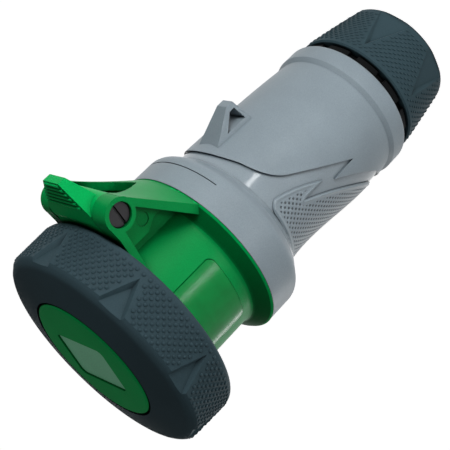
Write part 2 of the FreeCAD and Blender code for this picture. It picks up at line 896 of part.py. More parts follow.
def hinge_arm(side, sign, width):
    """One arm: boss, front strut, web and the thicker pad behind the boss."""
    roof_low = handle_front + d.flange_rim_height
    roof_high = pin_height - d.arm_roof_drop
    roof_foot = d.flange_radius - d.arm_roof_thickness
    roof_top = d.pin_reach + d.arm_roof_top - d.arm_roof_thickness / 2
    strut_low = pin_height + d.arm_strut_low
    begin = boss_inner if sign > 0 else -(boss_inner + width)
    boss = cylinder(f"boss_{side}", d.boss_radius, width, begin, "Y", x=d.pin_reach,
                    z=pin_height)
    strut = prism(f"strut_{side}", "XZ", [
        (d.insert_radius, strut_low),
        (d.pin_reach, strut_low),
        (d.pin_reach, pin_height + d.boss_radius),
        (d.arm_strut_bend_reach, pin_height + d.arm_strut_bend),
        (d.insert_radius, pin_height + d.arm_strut_root),
    ], begin, width)
    web_outer = d.arm_web_half_gap + d.arm_web_thickness
    web_begin = d.arm_web_half_gap if sign > 0 else -web_outer
    web = prism(f"web_{side}", "XZ", [
        (d.socket_radius, roof_low),
        (roof_foot, roof_low),
        (roof_top, roof_high),
        (d.pin_reach, strut_low),
        (d.insert_radius, strut_low),
    ], web_begin, d.arm_web_thickness)
    pad_begin = web_outer if sign > 0 else -(web_outer + d.arm_pad_thickness)
    behind = prism(f"arm_pad_{side}", "XZ", [
        (roof_foot, roof_low),
        (roof_top, roof_high),
        (d.pin_reach, strut_low),
        (d.arm_pad_corner_reach, strut_low),
        (d.arm_pad_corner_reach, pin_height - d.arm_pad_corner_drop),
        (d.arm_pad_reach, pin_height - d.arm_pad_drop),
        (d.arm_pad_reach, roof_low),
    ], pad_begin, d.arm_pad_thickness)
    return [boss, strut, web, behind]


def hinge_arms():
    arms = [arm_roof()]
    arms += hinge_arm("near", -1, d.boss_width_near)
    arms += hinge_arm("far", 1, d.boss_width_far)
    return arms


def hinge_clearances():
    """Room for the lid's knuckle and for the sweep of its thumb lever."""
    knuckle_room = cylinder("knuckle_room", d.knuckle_radius + d.knuckle_gap * 3, boss_inner * 2,
                            -boss_inner, "Y", x=d.pin_reach, z=pin_height)
    inner = d.knuckle_radius + d.knuckle_gap * 3
    sweep = doc.addObject("Part::Revolution", "lever_room")
    sweep.Source = free_sketch("lever_room_outline", "XY", [
        (d.pin_reach, -boss_inner),
        (d.pin_reach + inner, -boss_inner),
        (d.pin_reach + d.lever_sweep_radius, -d.lever_sweep_half_width),
        (d.pin_reach + d.lever_sweep_radius, d.lever_sweep_half_width),
        (d.pin_reach + inner, boss_inner),
        (d.pin_reach, boss_inner),
    ], pin_height)
    sweep.Axis = Y_AXIS
    bind(sweep, {"Base.x": d.pin_reach, "Base.z": pin_height})
    bind(sweep, {"Angle": d.lever_sweep_angle})
    sweep.Solid = True
    return knuckle_room, sweep


def marking_outline():
    foot = mouth - d.plate_foot_drop
    half = d.plate_width / 2
    return rounded_rectangle(-half, half, foot, foot + d.plate_length, d.plate_corner)


def front_housing():
    """Green moulding: skirt, flange, barrel, spigot with lugs, and the hinge arms."""
    skirt_radius = d.collar_radius - d.collar_wall - d.skirt_clearance
    skirt_bottom = handle_front - d.skirt_length
    groove_top = handle_front - d.seal_groove_drop
    groove_low = groove_top - d.seal_groove_width
    flange_front = handle_front + d.flange_front_height
    barrel_top = mouth - d.barrel_top_drop
    barrel = turned("barrel_solid", [
        (ZERO, skirt_bottom),
        (skirt_radius, skirt_bottom),
        (skirt_radius, groove_low),
        (skirt_radius - d.seal_groove_depth, groove_low),
        (skirt_radius - d.seal_groove_depth, groove_top),
        (skirt_radius, groove_top),
        (skirt_radius, handle_front),
        (d.flange_radius, handle_front),
        (d.flange_radius, handle_front + d.flange_rim_height),
        (d.flange_radius - d.flange_chamfer, handle_front + d.flange_rim_height + d.flange_chamfer),
        (d.barrel_radius + d.barrel_foot_width, flange_front, -d.barrel_foot_round),
        (d.barrel_radius, flange_front + d.barrel_foot_height),
        (d.barrel_radius, barrel_top),
        (d.spigot_radius, barrel_top + d.flange_chamfer),
        (d.spigot_radius, mouth),
        (ZERO, mouth),
    ])
    lugs = []
    for number, angle in enumerate(lug_angles()):
        lugs.append(prism(f"spigot_lug_{number}", "XY", sector_outline(
            d.socket_radius, lug_radius, angle, d.lug_span), lug_bottom, d.lug_height))
    half_rib = d.key_rib_width / 2
    key_rib = box("key_rib", [-(d.spigot_radius + d.key_rib_height), -half_rib, barrel_top],
                  [-d.insert_radius, half_rib, mouth])
    solid = fuse("front_solid", barrel, key_rib, *lugs, *hinge_arms())
    skirt_bore = skirt_radius - d.skirt_wall
    hollow = turned("front_hollow", [
        (ZERO, skirt_bottom - OVERCUT),
        (skirt_bore, skirt_bottom - OVERCUT),
        (skirt_bore, handle_front),
        (d.socket_radius, handle_front),
        (d.socket_radius, mouth + OVERCUT),
        (ZERO, mouth + OVERCUT),
    ])
    half_key = d.keyway_width / 2
    keyway = box("keyway", [-(d.socket_radius + d.keyway_depth), -half_key,
                            mouth - d.keyway_length], [-d.insert_radius, half_key, mouth + OVERCUT])
    knuckle_room, sweep = hinge_clearances()
    mark_face = d.arm_web_half_gap + d.arm_web_thickness + d.arm_pad_thickness
    mark = cylinder("arm_mark", d.arm_mark_radius, d.arm_mark_depth * 2,
                    -mark_face - d.arm_mark_depth, "Y", x=d.arm_mark_reach,
                    z=pin_height - d.arm_mark_drop)
    head_bore_length = d.pin_head_length + d.pin_head_sunk
    pin_bore = cylinder("pin_bore", d.pin_radius + d.running_gap / 2,
                        boss_outer_near + boss_outer_far - d.pin_end_wall + OVERCUT,
                        -boss_outer_near - OVERCUT, "Y", x=d.pin_reach, z=pin_height)
    head_bore = cylinder("head_bore", d.pin_head_radius + d.head_clearance,
                         head_bore_length + OVERCUT, -boss_outer_near - OVERCUT, "Y",
                         x=d.pin_reach, z=pin_height)
    plate_floor = d.barrel_radius + d.plate_proud - d.plate_thickness
    plate_room = common(
        "plate_room",
        tube("plate_room_ring", d.flange_radius, plate_floor, d.barrel_reach, handle_front),
        prism("plate_room_window", "XZ", marking_outline(), -d.flange_radius, d.flange_radius))
    screw_holes = []
    for number in range(int(d.carrier_screw_count.value)):
        angle = d.carrier_screw_angle + number * FULL_TURN / d.carrier_screw_count.value
        screw_holes.append(cylinder(
            f"carrier_screw_hole_{number}", d.carrier_screw_radius + d.running_gap,
            d.carrier_screw_length, handle_front - OVERCUT, "Z",
            x=d.carrier_screw_circle * cosine(angle), y=d.carrier_screw_circle * sine(angle)))
    return cut("front_cut", solid, hollow, keyway, knuckle_room, sweep, mark, pin_bore,
               head_bore, plate_room, *screw_holes)


def marking_plate():
    floor = d.barrel_radius + d.plate_proud - d.plate_thickness
    foot = mouth - d.plate_foot_drop
    half = d.plate_width / 2 - d.plate_gap
    window = rounded_rectangle(-half, half, foot + d.plate_gap,
                               foot + d.plate_length - d.plate_gap, d.plate_corner)
    return common(
        "plate_piece",
        tube("plate_ring", d.barrel_radius + d.plate_proud, floor, d.barrel_reach, handle_front),
        prism("plate_window", "XZ", window, -d.flange_radius, d.flange_radius))


def thumb_lever():
    """Tapered lever on the knuckle, with grip ribs across its front face."""
    front = pin_height + d.knuckle_radius
    tip = d.pin_reach + d.lever_length
    side = prism("lever_side", "XZ", [
        (d.pin_reach, front),
        (d.pin_reach, pin_height - d.knuckle_radius / 2),
        (d.pin_reach + d.knuckle_radius, pin_height - d.pin_radius / 2),
        (tip, front - d.lever_tip_thickness),
        (tip, front),
    ], -half_knuckle, d.knuckle_width)
    taper_start = d.pin_reach + d.lever_root_length
    half_tip = d.lever_tip_width / 2
    plan = prism("lever_plan", "XY", [
        (d.pin_reach, -half_knuckle),
        (taper_start, -half_knuckle),
        (tip, -half_tip),
        (tip, half_tip),
        (taper_start, half_knuckle),
        (d.pin_reach, half_knuckle),
    ], pin_height - d.knuckle_radius, d.knuckle_radius * 2)
    parts = [common("lever_wedge", side, plan)]
    slope = (half_knuckle - half_tip) / (tip - taper_start)
    for number in range(int(d.lever_rib_count.value)):
        x = tip - d.lever_rib_start - d.lever_rib_pitch * number
        half = half_tip + slope * (tip - x) - d.lever_rib_radius * 2
        parts.append(cylinder(f"lever_rib_{number}", d.lever_rib_radius, half * 2, -half, "Y",
                              x=x, z=front))
    return parts


def lid():
    """Green lid: disc, captive flange, skirt and arm down to the knuckle and lever."""
    seal_outer = d.lid_skirt_radius - d.knuckle_gap
    seal_inner = seal_outer - d.lid_seal_width - d.seal_gap * 2
    plug = seal_inner - d.lid_plug_width
    disc = turned("lid_disc", [
        (ZERO, lid_flange_top),
        (plug, lid_flange_top),
        (plug, lid_flange_bottom),
        (seal_inner, lid_flange_bottom),
        (seal_inner, lid_flange_bottom + d.lid_seal_depth),
        (seal_outer, lid_flange_bottom + d.lid_seal_depth),
        (seal_outer, lid_flange_bottom),
        (d.lid_flange_radius, lid_flange_bottom),
        (d.lid_flange_radius, lid_flange_top),
        (d.lid_disc_radius, lid_flange_top),
        (d.lid_disc_radius, lid_face - d.lid_disc_chamfer / 2),
        (d.lid_disc_radius - d.lid_disc_chamfer, lid_face),
        (ZERO, lid_face),
    ])
    arm_bottom = pin_height + d.lid_arm_rise
    arm_top = arm_bottom + d.lid_arm_thickness
    skirt_tube = tube("skirt_tube", skirt_outer, d.lid_skirt_radius,
                      lid_flange_bottom - arm_bottom, arm_bottom)
    half_skirt = d.lid_skirt_width / 2
    skirt = common("lid_skirt", skirt_tube,
                   box("skirt_room", [ZERO, -half_skirt, arm_bottom],
                       [d.ring_radius, half_skirt, lid_flange_bottom]))
    root_tube = tube("root_tube", d.lid_root_radius, d.lid_skirt_radius, d.lid_root_height,
                     arm_bottom)
    root = common("arm_root", root_tube,
                  box("root_room", [ZERO, -half_knuckle, arm_bottom],
                      [d.ring_radius, half_knuckle, arm_bottom + d.lid_root_height]))
    barrel_room = cylinder("barrel_room", d.barrel_radius + d.barrel_clearance,
                           mouth - d.barrel_top_drop + d.flange_chamfer + d.barrel_clearance
                           - arm_bottom + OVERCUT, arm_bottom - OVERCUT)
    arm = box("lid_arm", [d.lid_root_radius - d.lid_skirt_wall, -half_knuckle, arm_bottom],
              [d.pin_reach, half_knuckle, arm_top])
    knuckle = cylinder("knuckle", d.knuckle_radius, d.knuckle_width, -half_knuckle, "Y",
                       x=d.pin_reach, z=pin_height)
    solid = fuse("lid_solid", disc, skirt, root, arm, knuckle, *thumb_lever())
    bore = cylinder("knuckle_bore", d.pin_radius + d.running_gap, d.knuckle_width + 2 * OVERCUT,
                    -half_knuckle - OVERCUT, "Y", x=d.pin_reach, z=pin_height)
    half_pocket = d.spring_pocket_width / 2
    spring_room = cylinder("spring_room", d.spring_pocket, d.spring_pocket_width,
                           -half_pocket, "Y", x=d.pin_reach, z=pin_height)
    spring_window = box("spring_window",
                        [d.pin_reach - d.spring_pocket, -half_pocket,
                         pin_height - d.knuckle_radius - OVERCUT],
                        [d.pin_reach + d.pin_radius, half_pocket, pin_height])
    recess = prism("window_recess", "XY", window_outline(ZERO),
                   lid_face - d.window_sunk - d.window_thickness,
                   d.window_sunk + d.window_thickness + OVERCUT)
    return cut("lid_cut", solid, barrel_room, bore, spring_room, spring_window, recess)


def window_outline(gap):
    half_x = d.window_height / 2 - gap
    half_y = d.window_width / 2 - gap
    return rounded_rectangle(-d.window_shift_x - half_x, half_x - d.window_shift_x,
                             d.window_shift_y - half_y, d.window_shift_y + half_y,
                             d.window_corner)


def lid_window():
    return prism("window_plate", "XY", window_outline(d.window_gap),
                 lid_face - d.window_sunk - d.window_thickness, d.window_thickness)


def lid_seal():
    outer = d.lid_skirt_radius - d.knuckle_gap - d.seal_gap
    bottom = lid_flange_bottom - d.lid_seal_proud
    top = lid_flange_bottom + d.lid_seal_depth
    inner = outer - d.lid_seal_width
    return turned("lid_seal_ring", [
        (inner, bottom + d.lid_seal_proud),
        (inner + d.lid_seal_proud, bottom),
        (outer - d.lid_seal_proud, bottom),
        (outer, bottom + d.lid_seal_proud),
        (outer, top),
        (inner, top),
    ])


def lock_ring():
    """Dark ring: captive on the lid's flange, with facets outside and lugs inside."""
    snap_top = lid_flange_bottom - d.snap_play
    snap_bottom = snap_top - d.snap_ring_thickness - d.snap_play
    counterbore = d.lid_flange_radius + d.ring_flange_gap
    lip_bore = d.lid_disc_radius + d.ring_lip_gap
    rear_start = ring_lug_bottom - d.ring_bore_gap
    lip_bottom = lid_face - d.ring_lip
    body = turned_body("lock_ring_body", [
        (lip_bore, lid_face - d.ring_lip_drop),
        (lip_bore, lip_bottom),
        (counterbore, lip_bottom),
        (counterbore, snap_top),
        (counterbore + d.snap_groove_depth * 2, snap_top),
        (counterbore + d.snap_groove_depth * 2, snap_bottom),
        (ring_bore, snap_bottom),
        (ring_bore, rear_start),
        (d.ring_rear_bore, rear_start),
        (d.ring_rear_bore, ring_back),
        (d.ring_radius - d.ring_back_round, ring_back, d.ring_back_round),
        (d.ring_radius, ring_back + d.ring_back_round),
        (d.ring_front_radius, lid_face - d.ring_front_length, d.ring_front_round),
        (d.ring_face_radius, lid_face - d.ring_face_drop),
    ])
    lugs = body_sketch(body, "ring_lug_outlines", "XY", ring_lug_bottom)
    lug_inner = skirt_outer + d.lug_play
    for angle in lug_angles():
        add_outline(lugs, sector_outline(lug_inner, ring_bore + d.lug_play,
                                         angle - d.unlock_turn, d.lug_span))
    pad(body, lugs, "ring_lugs", d.lug_height)
    core = body_sketch(body, "core_outline", "XY", ring_back)
    add_outline(core, sector_outline(d.core_inner_radius, d.core_outer_radius,
                                     d.core_span / 2, d.core_span))
    core_pocket = pocket(body, core, "core_pocket", d.core_depth, reverse=True)
    repeat_round(body, core_pocket, "core_pockets", d.core_count)
    facet = body_sketch(body, "facet_outline", "YZ", d.ring_front_radius - d.facet_depth)
    add_outline(facet, [
        (-(d.facet_width / 2), lid_face + d.facet_run_out),
        (ZERO, lid_face - d.facet_reach),
        (d.facet_width / 2, lid_face + d.facet_run_out),
    ])
    facet_cut = pocket(body, facet, "facet", d.facet_wall_height, reverse=True,
                       lean=d.facet_wall_angle)
    repeat_round(body, facet_cut, "facets", d.facet_count)
    return body


def ring_retainer():
    """Snap ring under the lid's flange, open at one place."""
    outer = d.lid_flange_radius + d.ring_flange_gap + d.snap_groove_depth * 2 - d.snap_play
    top = lid_flange_bottom - d.snap_play
    ring = tube("snap_full", outer, outer - d.snap_ring_width, d.snap_ring_thickness,
                top - d.snap_ring_thickness - d.snap_play / 2)
    opening = box("snap_opening", [-outer - OVERCUT, -d.keyway_width / 2, top - d.lug_height],
                  [-d.socket_radius, d.keyway_width / 2, top + OVERCUT])
    return cut("snap_ring", ring, opening)


def housing_seal():
    skirt_radius = d.collar_radius - d.collar_wall - d.skirt_clearance
    thickness = d.seal_groove_depth + d.skirt_clearance - d.seal_gap
    seal = doc.addObject("Part::Torus", "housing_o_ring")
    bind(seal, {
        "Radius1": skirt_radius - d.seal_groove_depth + thickness / 2 + d.seal_gap / 2,
        "Radius2": thickness / 2 - d.seal_gap / 4,
        "Placement.Base.z": handle_front - d.seal_groove_drop - d.seal_groove_width / 2,
    })
    return seal


def contact_places():
    """The contacts: name, bore, distance from the axis and angle."""
    pitch = FULL_TURN / RING_CONTACTS
    ring_names = ("contact_pe", "contact_l1", "contact_l2", "contact_l3", "contact_n")
    places = []
    for number, name in enumerate(ring_names):
        bore = d.earth_bore if name == "contact_pe" else d.phase_bore
        places.append((name, bore, d.contact_circle, -d.earth_angle + number * pitch))
    places.append(("contact_pilot", d.pilot_bore, ZERO, ZERO))
    return places


def contact_holes(body, name, low, widening):
    """Round holes for all the contacts, right through a moulding whose back is at low."""
    holes = body_sketch(body, name + "_outlines", "XY", low)
    for contact_name, bore, distance, angle in contact_places():
        add_circle(holes, distance * cosine(angle), distance * sine(angle),
                   bore + widening)
    pocket(body, holes, name, None, reverse=True)


def contact_carrier():
    """Base of the insulating insert: flange behind the socket, with screw holes."""
    flange = d.collar_radius - d.collar_wall - d.skirt_clearance - d.skirt_wall - d.carrier_gap
    body = turned_body("carrier_body", [
        (ZERO, carrier_bottom),
        (flange, carrier_bottom),
        (flange, handle_front),
        (d.socket_radius - d.carrier_gap, handle_front),
        (d.socket_radius - d.carrier_gap, insert_bottom),
        (ZERO, insert_bottom),
    ])
    contact_holes(body, "base_chambers", carrier_bottom, chamber_widening)
    screws = body_sketch(body, "carrier_screw_outline", "XY", carrier_bottom)
    add_circle(screws, d.carrier_screw_circle * cosine(d.carrier_screw_angle),
               d.carrier_screw_circle * sine(d.carrier_screw_angle),
               d.carrier_screw_radius + d.carrier_gap)
    screw_hole = pocket(body, screws, "carrier_screw_hole", d.carrier_flange_height,
                        reverse=True)
    repeat_round(body, screw_hole, "carrier_screw_holes", d.carrier_screw_count)
    return body


def contact_insert():
    """Cylinder that the plug's shroud slides over, with the contacts' chambers."""
    body = turned_body("insert_body", [
        (ZERO, insert_bottom),
        (d.insert_radius, insert_bottom),
        (d.insert_radius, face_bottom),
        (ZERO, face_bottom),
    ])
    contact_holes(body, "insert_chambers", insert_bottom, chamber_widening)
    return body


def contact_face():
    """Front plate of the insert, whose entry holes are narrower than the chambers."""
    body = turned_body("face_body", [
        (ZERO, face_bottom),
        (d.insert_radius, face_bottom),
        (d.insert_radius, face_top - d.carrier_gap * 3),
        (d.insert_radius - d.carrier_gap * 3, face_top),
        (ZERO, face_top),
    ])
    contact_holes(body, "entries", face_bottom, d.entry_gap)
    return body


def carrier_back_plate():
    flange = d.collar_radius - d.collar_wall - d.skirt_clearance - d.skirt_wall - d.carrier_gap
    body = turned_body("back_plate_body", [
        (ZERO, back_plate_bottom),
        (flange, back_plate_bottom),
        (flange, carrier_bottom),
        (ZERO, carrier_bottom),
    ])
    holes = body_sketch(body, "head_hole_outlines", "XY", back_plate_bottom)
    for name, bore, distance, angle in contact_places():
        add_circle(holes, distance * cosine(angle), distance * sine(angle),
                   bore + d.sleeve_wall + d.contact_head + d.carrier_gap)
    pocket(body, holes, "head_holes", None, reverse=True)
    screws = body_sketch(body, "plate_screw_outline", "XY", back_plate_bottom)
    add_circle(screws, d.carrier_screw_circle * cosine(d.carrier_screw_angle),
               d.carrier_screw_circle * sine(d.carrier_screw_angle),
               d.carrier_screw_radius + d.carrier_gap)
    screw_hole = pocket(body, screws, "plate_screw_hole", None, reverse=True)
    repeat_round(body, screw_hole, "plate_screw_holes", d.carrier_screw_count)
    return body


def contact(name, bore, distance, angle):
    """Brass sleeve with slits, collar and a terminal head for the wire."""
    sleeve = bore + d.sleeve_wall
    head = sleeve + d.contact_head
    collar = sleeve + d.contact_collar
    top = mouth - d.insert_sunk - d.sleeve_sunk
    bottom = back_plate_bottom - d.contact_head_length
    floor = top - d.sleeve_bore_depth
    wire = head * d.wire_hole_share
    body = turned_body(name + "_body", [
        (wire, bottom),
        (head, bottom),
        (head, carrier_bottom),
        (collar, carrier_bottom),
        (collar, carrier_bottom + d.contact_collar_height),
        (sleeve, carrier_bottom + d.contact_collar_height),
        (sleeve, top - d.seal_gap * 5),
        (sleeve - d.seal_gap * 5, top),
        (bore, top),
        (bore, floor),
        (ZERO, floor - bore / 2),
        (ZERO, bottom + d.wire_hole_depth + wire / 2),
        (wire, bottom + d.wire_hole_depth),
    ])
    slit = body_sketch(body, name + "_slit_outline", "XZ", -(sleeve + OVERCUT))
    half = d.sleeve_slit / 2
    add_outline(slit, [
        (-half, top - d.sleeve_slit_length),
        (half, top - d.sleeve_slit_length),
        (half, top + OVERCUT),
        (-half, top + OVERCUT),
    ])
    pocket(body, slit, name + "_slit", sleeve * 2 + 2 * OVERCUT, reverse=True)
    if distance is not ZERO:
        screws = body_sketch(body, name + "_screw_outline", "YZ", ZERO)
        for step in (1, 2):
            add_circle(screws, ZERO, bottom + d.terminal_screw_pitch * (step - HALF),
                       d.terminal_screw_radius + d.running_gap)
        pocket(body, screws, name + "_screw_holes", head + OVERCUT, reverse=True)
    body.Placement = FreeCAD.Placement(ORIGIN, FreeCAD.Rotation(Z_AXIS, as_size(angle).value))
    bind(body, {
        "Placement.Base.x": distance * cosine(angle),
        "Placement.Base.y": distance * sine(angle),
        "Placement.Rotation.Angle": angle,
    })
    return body


def terminal_screws():
    bottom = back_plate_bottom - d.contact_head_length
    screws = []
    for name, bore, distance, angle in contact_places():
        if distance is ZERO:
            continue
        head = bore + d.sleeve_wall + d.contact_head
        reach = distance + head + d.terminal_screw_radius - d.terminal_screw_length
        for step in (1, 2):
            screw = doc.addObject("Part::Cylinder", f"{name}_clamp_{step}")
            turn = FreeCAD.Rotation(Z_AXIS, as_size(angle).value)
            lean = FreeCAD.Rotation(Y_AXIS, 90)
            screw.Placement = FreeCAD.Placement(ORIGIN, turn.multiply(lean))
            bind(screw, {
                "Radius": d.terminal_screw_radius,
                "Height": d.terminal_screw_length,
                "Placement.Base.x": reach * cosine(angle),
                "Placement.Base.y": reach * sine(angle),
                "Placement.Base.z": bottom + d.terminal_screw_pitch * (step - HALF),
            })
            screws.append(screw)
    return group("terminal_screw_group", screws)


def sleeve_springs():
    top = mouth - d.insert_sunk - d.sleeve_sunk
    rings = []
    for name, bore, distance, angle in contact_places():
        if distance is ZERO:
            continue
        inner = bore + d.sleeve_wall + d.running_gap
        rings.append(tube(f"{name}_spring", inner + d.spring_ring_wall, inner,
                          d.spring_ring_height, top - d.spring_ring_drop,
                          distance * cosine(angle), distance * sine(angle)))
    return group("sleeve_spring_group", rings)


def carrier_screws():
    screws = []
    for number in range(int(d.carrier_screw_count.value)):
        angle = d.carrier_screw_angle + number * FULL_TURN / d.carrier_screw_count.value
        x = d.carrier_screw_circle * cosine(angle)
        y = d.carrier_screw_circle * sine(angle)
        head_height = d.carrier_screw_head_height
        shank = cylinder(f"screw_shank_{number}", d.carrier_screw_radius,
                         d.carrier_screw_length, back_plate_bottom - OVERCUT, "Z", x, y)
        head = cylinder(f"screw_head_{number}", d.carrier_screw_head, head_height,
                        back_plate_bottom - head_height, "Z", x, y)
        screws.append(fuse(f"carrier_screw_{number}", shank, head))
    return group("carrier_screw_group", screws)


def shroud_seal():
    return tube("shroud_seal_ring", d.socket_radius - d.carrier_gap,
                d.insert_radius + d.carrier_gap, d.shroud_seal_height,
                handle_front + d.carrier_base_height)


def hinge_pin():
    """Slotted screw that is the hinge's axle."""
    head_start = -boss_outer_near + d.pin_head_sunk
    head = cylinder("pin_head", d.pin_head_radius, d.pin_head_length, head_start, "Y",
                    x=d.pin_reach, z=pin_height)
    shank_length = (boss_outer_near + boss_outer_far - d.pin_head_sunk - d.pin_end_wall
                    - d.pin_end_play)
    shank = cylinder("pin_shank", d.pin_radius, shank_length, head_start, "Y",
                     x=d.pin_reach, z=pin_height)
    slot = doc.addObject("Part::Box", "pin_slot")
    slot.Placement = FreeCAD.Placement(ORIGIN, FreeCAD.Rotation(Y_AXIS, d.pin_slot_angle.value))
    length = d.pin_head_radius * 2 + 2 * OVERCUT
    bind(slot, {
        "Length": length,
        "Width": d.pin_slot_depth + OVERCUT,
        "Height": d.pin_slot_width,
        "Placement.Rotation.Angle": d.pin_slot_angle,
        "Placement.Base.x": d.pin_reach - length / 2 * cosine(d.pin_slot_angle)
        - d.pin_slot_width / 2 * sine(d.pin_slot_angle),
        "Placement.Base.y": head_start - OVERCUT,
        "Placement.Base.z": pin_height + length / 2 * sine(d.pin_slot_angle)
        - d.pin_slot_width / 2 * cosine(d.pin_slot_angle),
    })
    return cut("pin_cut", fuse("pin_solid", head, shank), slot)


def hinge_spring():
    """Wire coil round the pin inside the knuckle."""
    path = doc.addObject("Part::Helix", "spring_path")
    bind(path, {
        "Radius": d.spring_coil,
        "Pitch": d.spring_pitch,
        "Height": d.spring_length,
        "Placement.Base.x": d.pin_reach,
        "Placement.Base.y": -(d.spring_length / 2),
        "Placement.Base.z": pin_height,
    })
    path.Placement.Rotation = FreeCAD.Rotation(X_AXIS, -90)
    wire = doc.addObject("Part::Circle", "spring_wire_outline")
    bind(wire, {
        "Radius": d.spring_wire,
        "Placement.Base.x": d.pin_reach + d.spring_coil,
        "Placement.Base.y": -(d.spring_length / 2),
        "Placement.Base.z": pin_height,
    })
    coil = doc.addObject("Part::Sweep", "spring_coil_sweep")
    coil.Sections = [wire]
    coil.Spine = (path, [])
    coil.Solid = True
    coil.Frenet = True
    return coil


def gland_body():
    """Black gland part: notched flange, seat in the handle and threaded stem."""
    flange_bottom = d.nut_length + d.gland_flange_gap
    body = turned_body("gland_body_body", [
        (d.grommet_radius, stem_bottom),
        (d.thread_radius, stem_bottom),
        (d.thread_radius, flange_bottom),
        (d.gland_flange_radius, flange_bottom),
        (d.gland_flange_radius, handle_rear),
        (d.gland_seat_radius, handle_rear),
        (d.gland_seat_radius, handle_rear + d.gland_seat_depth),
        (d.cable_radius, handle_rear + d.gland_seat_depth),
        (d.cable_radius, stem_bottom + d.grommet_length + d.carrier_gap),
        (d.grommet_radius, stem_bottom + d.grommet_length + d.carrier_gap),
    ])
    notch = body_sketch(body, "notch_outline", "XY", flange_bottom)
    half = d.notch_width / 2
    inner = d.gland_flange_radius - d.notch_depth
    add_outline(notch, [
        (inner, -half),
        (d.gland_flange_radius + OVERCUT, -half),
        (d.gland_flange_radius + OVERCUT, half),
        (inner, half),
    ])
    notch_cut = pocket(body, notch, "notch", d.notch_height, reverse=True)
    repeat_round(body, notch_cut, "notches", d.notch_count)
    return body


def gland_grommet():
    return tube("grommet_tube", d.grommet_radius - d.carrier_gap, d.grommet_bore,
                d.grommet_length, stem_bottom)


def clamping_cage():
    """Slotted cage under the grommet; the nut's cone closes its fingers."""
    top = stem_bottom - d.carrier_gap
    flange_low = top - d.cage_flange_height
    finger_low = d.nut_lip + d.nut_top_chamfer
    body = turned_body("cage_body", [
        (d.cable_radius - d.carrier_gap, finger_low),
        (d.nut_cone_radius - d.nut_top_chamfer, finger_low),
        (d.thread_radius - d.nut_top_chamfer * 2, flange_low),
        (d.thread_radius - d.carrier_gap, flange_low),
        (d.thread_radius - d.carrier_gap, top),
        (d.cable_radius - d.carrier_gap, top),
    ])
    slit = body_sketch(body, "cage_slit_outline", "YZ", ZERO)
    half = d.cage_slit / 2
    add_outline(slit, [
        (-half, finger_low - OVERCUT),
        (half, finger_low - OVERCUT),
        (half, flange_low),
        (-half, flange_low),
    ])
    slit_cut = pocket(body, slit, "cage_slit", None, reverse=True)
    repeat_round(body, slit_cut, "cage_slits", d.cage_finger_count)
    return body


def gland_nut():
    """Union nut: tapered, rounded at the cable end, with triangular facets."""
    bore = d.thread_radius + d.thread_gap
    body = turned_body("gland_nut_body", [
        (d.cable_radius, ZERO),
        (d.nut_end_radius, ZERO, d.nut_end_round),
        (d.nut_waist_radius, d.nut_end_length),
        (d.nut_top_radius, d.nut_length - d.nut_top_chamfer),
        (d.nut_top_radius - d.nut_top_chamfer, d.nut_length),
        (bore, d.nut_length),
        (bore, d.nut_cone_top),
        (d.nut_cone_radius, d.nut_lip),
        (d.cable_radius, d.nut_lip),
    ])
    rise = d.nut_length - d.nut_end_length
    flare = d.nut_top_radius - d.nut_waist_radius
    sketch = body_sketch(body, "nut_facet_outline", "YZ", d.nut_waist_radius - d.nut_facet_depth)
    lean = math.degrees(math.atan2(flare.value, rise.value))
    sketch.AttachmentOffset = FreeCAD.Placement(ORIGIN, FreeCAD.Rotation(X_AXIS, lean))
    bind(sketch, {"AttachmentOffset.Base.z": d.nut_waist_radius - d.nut_facet_depth
                  - flare / rise * d.nut_end_length})
    add_outline(sketch, [
        (-(d.nut_facet_width / 2), -d.nut_facet_run_out),
        (d.nut_facet_width / 2, -d.nut_facet_run_out),
        (ZERO, d.nut_length - d.nut_facet_top),
    ])
    facet = pocket(body, sketch, "nut_facet", d.facet_wall_height, reverse=True,
                   lean=d.facet_wall_angle)
    repeat_round(body, facet, "nut_facets", d.nut_facet_count)
    body.Placement = FreeCAD.Placement(ORIGIN, FreeCAD.Rotation(Z_AXIS, -d.nut_turn.value))
    bind(body, {"Placement.Rotation.Angle": -d.nut_turn})
    return body


keep(handle_housing(), "handle_housing")
keep(front_housing(), "front_housing")
keep(marking_plate(), "marking_plate")
keep(lid(), "lid")
keep(lid_window(), "lid_window")
keep(lid_seal(), "lid_seal")
keep(lock_ring(), "lock_ring")
keep(ring_retainer(), "ring_retainer")
keep(housing_seal(), "housing_seal")
keep(contact_carrier(), "contact_carrier")
keep(contact_insert(), "contact_insert")
keep(contact_face(), "contact_face")
keep(carrier_back_plate(), "carrier_back_plate")
keep(carrier_screws(), "carrier_screws")
for place in contact_places():
    keep(contact(*place), place[0])
keep(terminal_screws(), "terminal_screws")
keep(sleeve_springs(), "sleeve_springs")
keep(shroud_seal(), "shroud_seal")
keep(hinge_pin(), "hinge_pin")
keep(hinge_spring(), "hinge_spring")
keep(gland_body(), "gland_body")
keep(gland_grommet(), "gland_grommet")
keep(clamping_cage(), "clamping_cage")
keep(gland_nut(), "gland_nut")
doc.recompute()

faults = []
for thing in doc.Objects:
    if "Invalid" in thing.State or "Error" in thing.State:
        faults.append(thing.Name + " " + str(thing.State))
for thing in nodes:
    if thing.Shape.isNull() or not thing.Shape.isValid():
        faults.append(thing.Label + " has no valid shape")
if faults:
    raise RuntimeError("; ".join(faults))

os.makedirs("parts", exist_ok=True)
for thing in nodes:
    thing.Shape.exportStep(f"parts/{thing.Label}.step")
    print(thing.Label, len(thing.Shape.Solids), round(thing.Shape.Volume))
